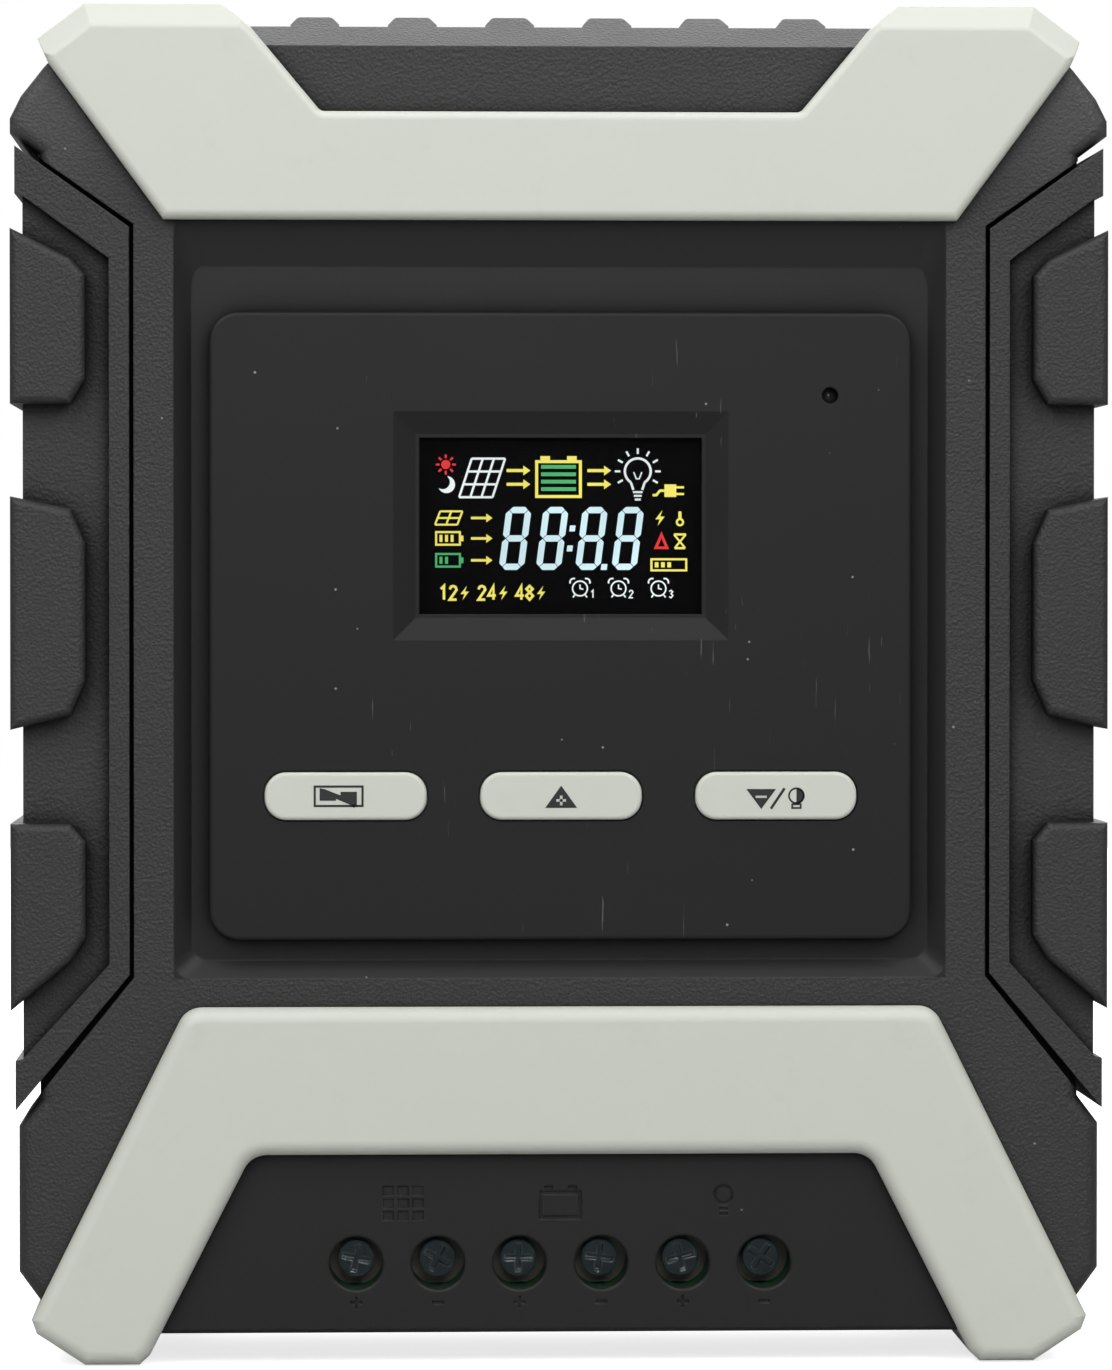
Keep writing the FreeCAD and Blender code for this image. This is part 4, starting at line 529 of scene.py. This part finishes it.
def stroke(points, width, closed=False):
    """A line of even width through points, with mitred corners, as quads."""
    count = len(points)
    sides = []
    for i, point in enumerate(points):
        here = Vector(point)
        before = Vector(points[i - 1]) if (i or closed) else None
        after = Vector(points[(i + 1) % count]) if (i < count - 1 or closed) else None
        ahead = (after - here).normalized() if after is not None else None
        behind = (here - before).normalized() if before is not None else None
        ahead = ahead or behind
        behind = behind or ahead
        normal = Vector((-(ahead + behind).y, (ahead + behind).x)).normalized()
        turn = max(SHARPEST_MITRE, normal.dot(Vector((-ahead.y, ahead.x))))
        offset = normal * (width / 2 / turn)
        sides.append((here + offset, here - offset))
    last = count if closed else count - 1
    return [
        [sides[i][0], sides[i][1], sides[(i + 1) % count][1], sides[(i + 1) % count][0]]
        for i in range(last)
    ]


def ring(x, z, radius, width):
    return stroke(ring_points(x, z, radius), width, closed=True)


def moved(shapes, x, z):
    return [[(across + x, up + z) for across, up in shape] for shape in shapes]


def slanted(shapes, base, slope):
    """Leans shapes to the right about a height, as display digits do."""
    return [[(x + (z - base) * slope, z) for x, z in shape] for shape in shapes]


def flat_piece(name, shapes, origin, thick, material, body):
    """One mesh of thin solid shapes drawn about a point and raised towards the viewer by thick (mm)."""
    mesh = bmesh.new()
    for shape in shapes:
        near = [mesh.verts.new(origin + Vector((x, -thick, z)) * MM) for x, z in shape]
        far = [mesh.verts.new(origin + Vector((x, 0.0, z)) * MM) for x, z in shape]
        mesh.faces.new(near)
        mesh.faces.new(list(reversed(far)))
        count = len(shape)
        for i in range(count):
            j = (i + 1) % count
            mesh.faces.new([near[j], near[i], far[i], far[j]])
    bmesh.ops.recalc_face_normals(mesh, faces=mesh.faces)
    data = bpy.data.meshes.new(name)
    mesh.to_mesh(data)
    mesh.free()
    data.materials.append(material)
    piece = bpy.data.objects.new(name, data)
    bpy.context.scene.collection.objects.link(piece)
    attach(piece, body)


# ---------------------------------------------------------------- display marks
# All places are in millimetres from the middle of the window.

# Strokes of the small numerals, on a cell one unit wide and two units high.
NUMERALS = {
    "1": [[(0.15, 1.55), (0.6, 2.0), (0.6, 0.0)]],
    "2": [[(0.0, 1.5), (0.2, 1.9), (0.5, 2.0), (0.85, 1.85), (1.0, 1.45), (0.0, 0.0), (1.0, 0.0)]],
    "3": [[(0.0, 1.7), (0.5, 2.0), (0.95, 1.6), (0.5, 1.1), (1.0, 0.6), (0.5, 0.0), (0.0, 0.3)]],
    "4": [[(0.75, 0.0), (0.75, 2.0), (0.0, 0.6), (1.1, 0.6)]],
    "8": [[(0.5, 1.1), (0.05, 1.55), (0.5, 2.0), (0.95, 1.55), (0.5, 1.1), (0.0, 0.55), (0.5, 0.0),
           (1.0, 0.55), (0.5, 1.1)]],
}
NUMERAL_STEP = 1.45


def number_shapes(text, x, z, size, width):
    """A number in plain strokes; its lower left corner is at x, z and size is half its height."""
    shapes = []
    for place, figure in enumerate(text):
        left = x + place * size * NUMERAL_STEP
        for line in NUMERALS[figure]:
            shapes += stroke([(left + across * size, z + up * size) for across, up in line], width)
    return shapes


def segment(x, z, long, width, upright):
    """One bar of a display digit: a thin hexagon with pointed ends."""
    half, side = long / 2, width / 2
    bar = [(-half, 0), (-half + side, side), (half - side, side), (half, 0), (half - side, -side),
           (-half + side, -side)]
    return [(x - up, z + across) if upright else (x + across, z + up) for across, up in bar]


def display_digit(x, low, wide, tall, width):
    """All seven bars of a digit, about its lower left corner."""
    gap = 0.12
    across = wide - width
    upright = (tall - width) / 2
    middle = x + wide / 2
    rows = [low + width / 2 + upright * step for step in range(3)]
    bars = [segment(middle, row, across - gap, width, False) for row in rows]
    for row in rows[:2]:
        for side in (-1, 1):
            column = middle + side * across / 2
            bars.append(segment(column, row + upright / 2, upright - gap, width, True))
    return bars


def digit_shapes():
    """The four digits with the colon and the point between them, all leaning right."""
    low, tall, wide, width = -5.9, 8.5, 3.4, 0.85
    lean = 0.13
    shapes = []
    for left in (-8.3, -3.3, 2.0, 6.9):
        shapes += display_digit(left, low, wide, tall, width)
    colon = [rectangle(0.95, up, 0.75, 0.8) for up in (-0.3, -3.0)]
    point = rectangle(5.9, low + 0.4, 0.8, 0.8)
    return slanted(shapes + colon + [point], low, lean)


def arrow(x, z, long, width, head):
    """An arrow to the right; its tail is at x, z."""
    neck = x + long - head
    shaft = rectangle(x + (long - head) / 2, z, long - head, width)
    return [shaft, [(neck, z + head * 0.7), (x + long, z), (neck, z - head * 0.7)]]


def rays(x, z, inner, outer, width, count=8, start=0.0, sweep=360.0):
    """Short lines around a point, between two distances from it."""
    shapes = []
    for i in range(count):
        angle = math.radians(start + sweep * i / count)
        way = Vector((math.cos(angle), math.sin(angle)))
        middle = Vector((x, z))
        shapes += stroke([middle + way * inner, middle + way * outer], width)
    return shapes


def bolt(x, z, tall):
    """A lightning bolt, used for volts."""
    points = [(0.15, 0.5), (-0.3, -0.08), (-0.02, -0.08), (-0.15, -0.5), (0.3, 0.1), (0.02, 0.1)]
    upper = [points[0], points[1], points[2], points[5]]
    lower = [points[2], points[3], points[4], points[5]]
    return moved([[(a * tall, b * tall) for a, b in part] for part in (upper, lower)], x, z)


def sloping_panel(x, z, wide, tall, lean, cells, width):
    """A solar panel: a leaning grid of square cells about its middle."""
    shapes = []
    for step in range(cells + 1):
        share = step / cells - 0.5
        column, row, shift = share * wide, share * tall, share * lean
        shapes += stroke([(column - lean / 2, -tall / 2), (column + lean / 2, tall / 2)], width)
        shapes += stroke([(-wide / 2 + shift, row), (wide / 2 + shift, row)], width)
    return moved(shapes, x, z)


def cell_sign(x, z, wide, tall, width, bars):
    """A battery lying on its side, with a terminal on the right and some bars of charge."""
    left, right = x - wide / 2, x + wide / 2
    shapes = stroke(rectangle(x, z, wide, tall), width, closed=True)
    shapes.append(rectangle(right + 0.3, z, 0.35, tall * 0.45))
    shapes += [rectangle(left + 0.65 + 0.75 * i, z, 0.4, tall - 0.75) for i in range(bars)]
    return shapes


def crescent(x, z, radius):
    """A moon between two arcs."""
    count = 15
    outer = ring_points(x, z, radius, count, start=-150, sweep=230)
    inner = ring_points(x - radius * 0.45, z + radius * 0.3, radius * 0.85, count, start=-122, sweep=174)
    return [[outer[i], outer[i + 1], inner[i + 1], inner[i]] for i in range(count - 1)]


def bulb_sign(x, z):
    """A lamp bulb about the middle of its glass: glass, neck, three base rings, wire and rays."""
    line = 0.32
    shapes = stroke(ring_points(x, z, 1.75, 26, start=-58, sweep=296), line)
    for side in (-1, 1):
        shapes += stroke([(x + side * 0.93, z - 1.5), (x + side * 0.6, z - 2.5)], line)
    shapes += [rectangle(x, z - 2.8 - 0.5 * i, 1.3 - 0.25 * i, 0.28) for i in range(3)]
    wire = [(x - 0.55, z - 0.1), (x - 0.2, z - 1.0), (x + 0.2, z - 1.0), (x + 0.55, z - 0.1)]
    shapes += stroke(wire, 0.18)
    return shapes + rays(x, z, 2.35, 3.1, 0.28, count=9, start=-30, sweep=270)


def alarm_sign(x, z, number):
    """A ringing clock with its number beside it."""
    hands = stroke([(x, z + 0.55), (x, z), (x + 0.45, z - 0.1)], 0.18)
    shapes = ring(x, z, 1.0, 0.2) + hands
    for side in (-1, 1):
        bell = ring_points(x + side * 0.85, z + 0.85, 0.5, 7, start=25 - side * 45, sweep=130)
        foot = [(x + side * 0.7, z - 0.85), (x + side * 0.95, z - 1.2)]
        shapes += stroke(bell, 0.22) + stroke(foot, 0.2)
    return shapes + number_shapes(number, x + 1.45, z - 1.25, 0.5, 0.17)


def white_signs():
    """The moon, the solar panel, the lamp and three alarm clocks."""
    shapes = crescent(-15.3, 5.6, 1.15)
    shapes += sloping_panel(-10.5, 6.5, 4.5, 5.2, 1.7, 3, 0.3)
    shapes += bulb_sign(10.5, 7.4)
    for x, number in ((2.7, "1"), (7.9, "2"), (13.3, "3")):
        shapes += alarm_sign(x, -8.4, number)
    return shapes


def battery_sign():
    """The big battery's case and its two terminals; its charge is drawn in green."""
    case = stroke(rectangle(-0.2, 6.35, 5.9, 4.7), 0.4, closed=True)
    return case + [rectangle(x, 9.1, 1.3, 0.7) for x in (-2.0, 1.6)]


def voltage_signs():
    """The three system voltages, each with a bolt for volts."""
    shapes = []
    for x, number in ((-16.2, "12"), (-11.0, "24"), (-5.9, "48")):
        shapes += number_shapes(number, x, -9.9, 0.92, 0.34)
        shapes += bolt(x + 3.35, -9.0, 1.9)
    return shapes


def yellow_signs():
    """The flow of power at the top, the list at the left, the voltages below, the units at the right."""
    shapes = battery_sign()
    for x in (-7.2, 3.7):
        for z in (7.5, 5.65):
            shapes += arrow(x, z, 3.2, 0.42, 0.95)
    for z in (1.1, -1.65, -4.6):
        shapes += arrow(-12.0, z, 2.9, 0.35, 0.85)
    shapes += sloping_panel(-15.0, 1.1, 3.0, 1.8, 0.7, 2, 0.26)
    shapes += cell_sign(-15.1, -1.65, 3.2, 1.7, 0.28, 3)
    return shapes + voltage_signs() + unit_signs() + load_sign(14.9, 4.8) + time_sign(14.7, -5.2)


def unit_signs():
    """A bolt for volts, a thermometer for the temperature and an hourglass for hours."""
    thermometer = ring(16.2, 0.55, 0.42, 0.28) + stroke([(16.2, 0.95), (16.2, 2.0)], 0.42)
    top_left, top_right = (15.4, -1.1), (17.0, -1.1)
    low_left, low_right = (15.5, -2.95), (16.9, -2.95)
    caps = stroke([top_left, top_right], 0.3) + stroke([low_left, low_right], 0.3)
    waist = stroke([top_left, low_right], 0.26) + stroke([top_right, low_left], 0.26)
    return bolt(13.5, 1.1, 2.1) + thermometer + caps + waist


def load_sign(x, z):
    """A plug with its cable, in place of a word."""
    plug = [rectangle(x, z, 1.6, 1.7)]
    pins = [rectangle(x + 1.3, z + side * 0.45, 1.1, 0.3) for side in (-1, 1)]
    cable = stroke([(x - 0.7, z), (x - 1.4, z), (x - 1.9, z - 0.6), (x - 2.4, z - 0.6)], 0.34)
    return plug + pins + cable


def time_sign(x, z):
    """A running bar, in place of a word."""
    shapes = stroke(rectangle(x, z, 4.7, 1.5), 0.28, closed=True)
    return shapes + [rectangle(x - 1.65 + 0.85 * i, z, 0.5, 0.7) for i in range(3)]


def green_signs():
    """The charge of the big battery and a small battery."""
    charge = [rectangle(-0.2, z, 4.7, 0.5) for z in (8.0, 7.0, 6.0, 5.0)]
    return charge + cell_sign(-15.1, -4.6, 3.2, 1.7, 0.28, 2)


def red_signs():
    """The sun and a triangle."""
    sun = [ring_points(-15.4, 8.3, 0.62, 18)] + rays(-15.4, 8.3, 0.85, 1.35, 0.28)
    return sun + stroke([(12.95, -2.9), (13.7, -1.15), (14.45, -2.9)], 0.36, closed=True)


LIT_THICK = 0.08
LIT_POWER = 1.0
LIT_COLORS = {
    "digits": (0.64, 0.86, 0.92),
    "white": (0.78, 0.84, 0.84),
    "yellow": (0.86, 0.77, 0.13),
    "green": (0.05, 0.42, 0.13),
    "red": (0.72, 0.015, 0.02),
}


def lit_display():
    """The lit marks on the front of the display glass, one piece for each colour."""
    low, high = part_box("display_panel")
    middle = (low + high) / 2
    origin = Vector((middle.x, low.y, middle.z))
    drawn = {"digits": digit_shapes(), "white": white_signs(), "yellow": yellow_signs(),
             "green": green_signs(), "red": red_signs()}
    for color, shapes in drawn.items():
        material = lit_material(f"lit_{color}", LIT_COLORS[color], LIT_POWER)
        flat_piece(f"display_{color}", shapes, origin, LIT_THICK, material, "housing")


# ---------------------------------------------------------------- button prints
# All places are in millimetres from the middle of each button.

# The pale marks stand a little over the ink that they lie on.
INK_THICK = 0.03
PALE_MARK_THICK = 0.045


def menu_print():
    """A battery frame with a bolt of charge across it."""
    outline = stroke(rectangle(-0.95, 0.0, 6.4, 2.6), 0.3, closed=True)
    left = [(-3.5, 1.1), (-2.8, 0.95), (-1.3, 0.35), (-1.3, -0.6), (-3.5, -0.6)]
    join = [(-1.3, 0.35), (-0.7, 0.15), (0.7, -1.2), (-1.3, -0.35)]
    right = [(-0.7, 0.6), (1.5, 0.6), (1.5, -1.1), (1.1, -1.6), (0.7, -1.2), (-0.7, 0.15)]
    return outline + [left, join, right]


def up_print():
    """An upward triangle."""
    return [[(-2.15, -1.6), (2.15, -1.6), (0.0, 1.4)]]


def up_mark():
    """A plus inside the triangle."""
    return [rectangle(0, -0.6, 1.3, 0.36), rectangle(0, -0.6, 0.36, 1.3)]


def down_print():
    """A downward triangle, a slash and a lamp that is dark on one side."""
    lamp = 2.75
    triangle = [(-4.0, 0.9), (0.0, 0.9), (-2.0, -1.8)]
    slash = stroke([(-0.7, -1.75), (1.15, 1.0)], 0.36)
    bulb = ring(lamp, 0.0, 1.0, 0.24)
    dark_half = ring_points(lamp, 0.0, 1.05, 15, start=-90, sweep=180)
    base = stroke(rectangle(lamp, -1.4, 1.15, 0.5), 0.24, closed=True)
    return [triangle] + slash + bulb + [dark_half] + base


def down_mark():
    """A minus inside the triangle."""
    return [rectangle(-2.0, -0.15, 1.5, 0.3)]


def print_buttons():
    """Black prints on the buttons; a pale mark lies on top of two of them."""
    ink = ink_material()
    pale = MATERIALS["pale_button"]
    prints = {
        "menu": (menu_print(), []),
        "up": (up_print(), up_mark()),
        "down": (down_print(), down_mark()),
    }
    for name, (dark, mark) in prints.items():
        body = f"{name}_button"
        low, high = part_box(body)
        origin = Vector(((low.x + high.x) / 2, low.y, (low.z + high.z) / 2))
        flat_piece(f"{name}_print", dark, origin, INK_THICK, ink, body)
        if mark:
            flat_piece(f"{name}_print_mark", mark, origin, PALE_MARK_THICK, pale, body)


lit_display()
print_buttons()


# ---------------------------------------------------------------- stage

WHITE = (1.0, 1.0, 1.0, 1.0)

LIGHTS_AIM = Vector((0.0, 0.0, 0.0))
# Each light's name, place, size and power.
LIGHTS = (
    ("overhead", (0.0, -0.17, 0.60), (1.4, 0.5), 3.4),
    ("upper_left", (-0.5, -0.9, 0.72), (0.6, 0.6), 5.1),
    ("upper_right", (0.5, -0.9, 0.72), (0.6, 0.6), 4.75),
    ("front_key", (0.0, -1.25, 0.30), (0.25, 0.25), 1.55),
    ("back_fill", (0.0, 1.3, 0.7), (1.2, 1.2), 15),
)
WORLD_LIGHT = 0.12

FLOOR_RADIUS = 1.6
FLOOR_GAP = 0.0002
# The camera sees the floor brighter than the light that it throws back on the object.
FLOOR_COLOR = (0.42, 0.42, 0.42)
SEEN_FLOOR_COLOR = (0.88, 0.88, 0.88)
SEEN_FLOOR_GLOW = 0.75

CAMERA_AHEAD = 0.78
CAMERA_LEFT = 0.030
CAMERA_UP = 0.012
AIM_LEFT = 0.7 * MM
# Half of what the picture shows upright, at the depth of the front.
HALF_VIEW = 91.9 * MM


def area_light(name, place, size, power):
    data = bpy.data.lights.new(name, "AREA")
    data.shape = "RECTANGLE"
    data.size, data.size_y = size
    data.energy = power
    lamp = bpy.data.objects.new(name, data)
    lamp.location = place
    lamp.rotation_euler = (LIGHTS_AIM - Vector(place)).to_track_quat("-Z", "Y").to_euler()
    bpy.context.scene.collection.objects.link(lamp)


def make_floor():
    """A plain pale round floor under the object."""
    low, high = cad_box
    mesh = bmesh.new()
    bmesh.ops.create_circle(mesh, cap_ends=True, segments=96, radius=FLOOR_RADIUS)
    data = bpy.data.meshes.new("floor")
    mesh.to_mesh(data)
    mesh.free()
    floor = bpy.data.objects.new("floor", data)
    floor.location = ((low.x + high.x) / 2, (low.y + high.y) / 2, low.z - FLOOR_GAP)
    paint = Paint("floor", FLOOR_COLOR, 0.7)
    paint.rougher(paint.noise(0.004), -0.05, 0.05)
    seen = paint.add("ShaderNodeLightPath").outputs["Is Camera Ray"]
    paint.tint(seen, SEEN_FLOOR_COLOR)
    paint.feed(paint.shader.inputs["Emission Color"], WHITE)
    paint.feed(paint.shader.inputs["Emission Strength"], paint.math("MULTIPLY", seen, SEEN_FLOOR_GLOW))
    data.materials.append(paint.finish())
    bpy.context.scene.collection.objects.link(floor)


def make_world():
    """Soft even light; the camera sees it as a white backdrop."""
    world = bpy.data.worlds.new("studio")
    world.use_nodes = True
    tree = world.node_tree
    tree.nodes.clear()
    path = tree.nodes.new("ShaderNodeLightPath")
    seen = tree.nodes.new("ShaderNodeBackground")
    seen.inputs["Color"].default_value = WHITE
    lit = tree.nodes.new("ShaderNodeBackground")
    lit.inputs["Color"].default_value = WHITE
    lit.inputs["Strength"].default_value = WORLD_LIGHT
    mix = tree.nodes.new("ShaderNodeMixShader")
    output = tree.nodes.new("ShaderNodeOutputWorld")
    tree.links.new(path.outputs["Is Camera Ray"], mix.inputs[0])
    tree.links.new(lit.outputs[0], mix.inputs[1])
    tree.links.new(seen.outputs[0], mix.inputs[2])
    tree.links.new(mix.outputs[0], output.inputs["Surface"])
    bpy.context.scene.world = world


def make_camera():
    """Straight in front, a little left of and above the middle.

    The picture is taller than it is wide, so the width of the sensor lies along its height.
    """
    low, high = cad_box
    front = low.y
    middle = Vector((-AIM_LEFT, front, (low.z + high.z) / 2))
    place = Vector((-CAMERA_LEFT, front - CAMERA_AHEAD, CAMERA_UP))
    data = bpy.data.cameras.new("camera")
    data.sensor_width = 36.0
    reach = (middle - place).length
    data.lens = data.sensor_width / 2 / (HALF_VIEW / reach)
    data.clip_start, data.clip_end = 0.01, 20.0
    camera = bpy.data.objects.new("camera", data)
    camera.location = place
    camera.rotation_euler = (middle - place).to_track_quat("-Z", "Y").to_euler()
    bpy.context.scene.collection.objects.link(camera)
    bpy.context.scene.camera = camera


make_floor()
make_world()
make_camera()
for light in LIGHTS:
    area_light(*light)
bpy.context.scene.view_settings.view_transform = "Standard"
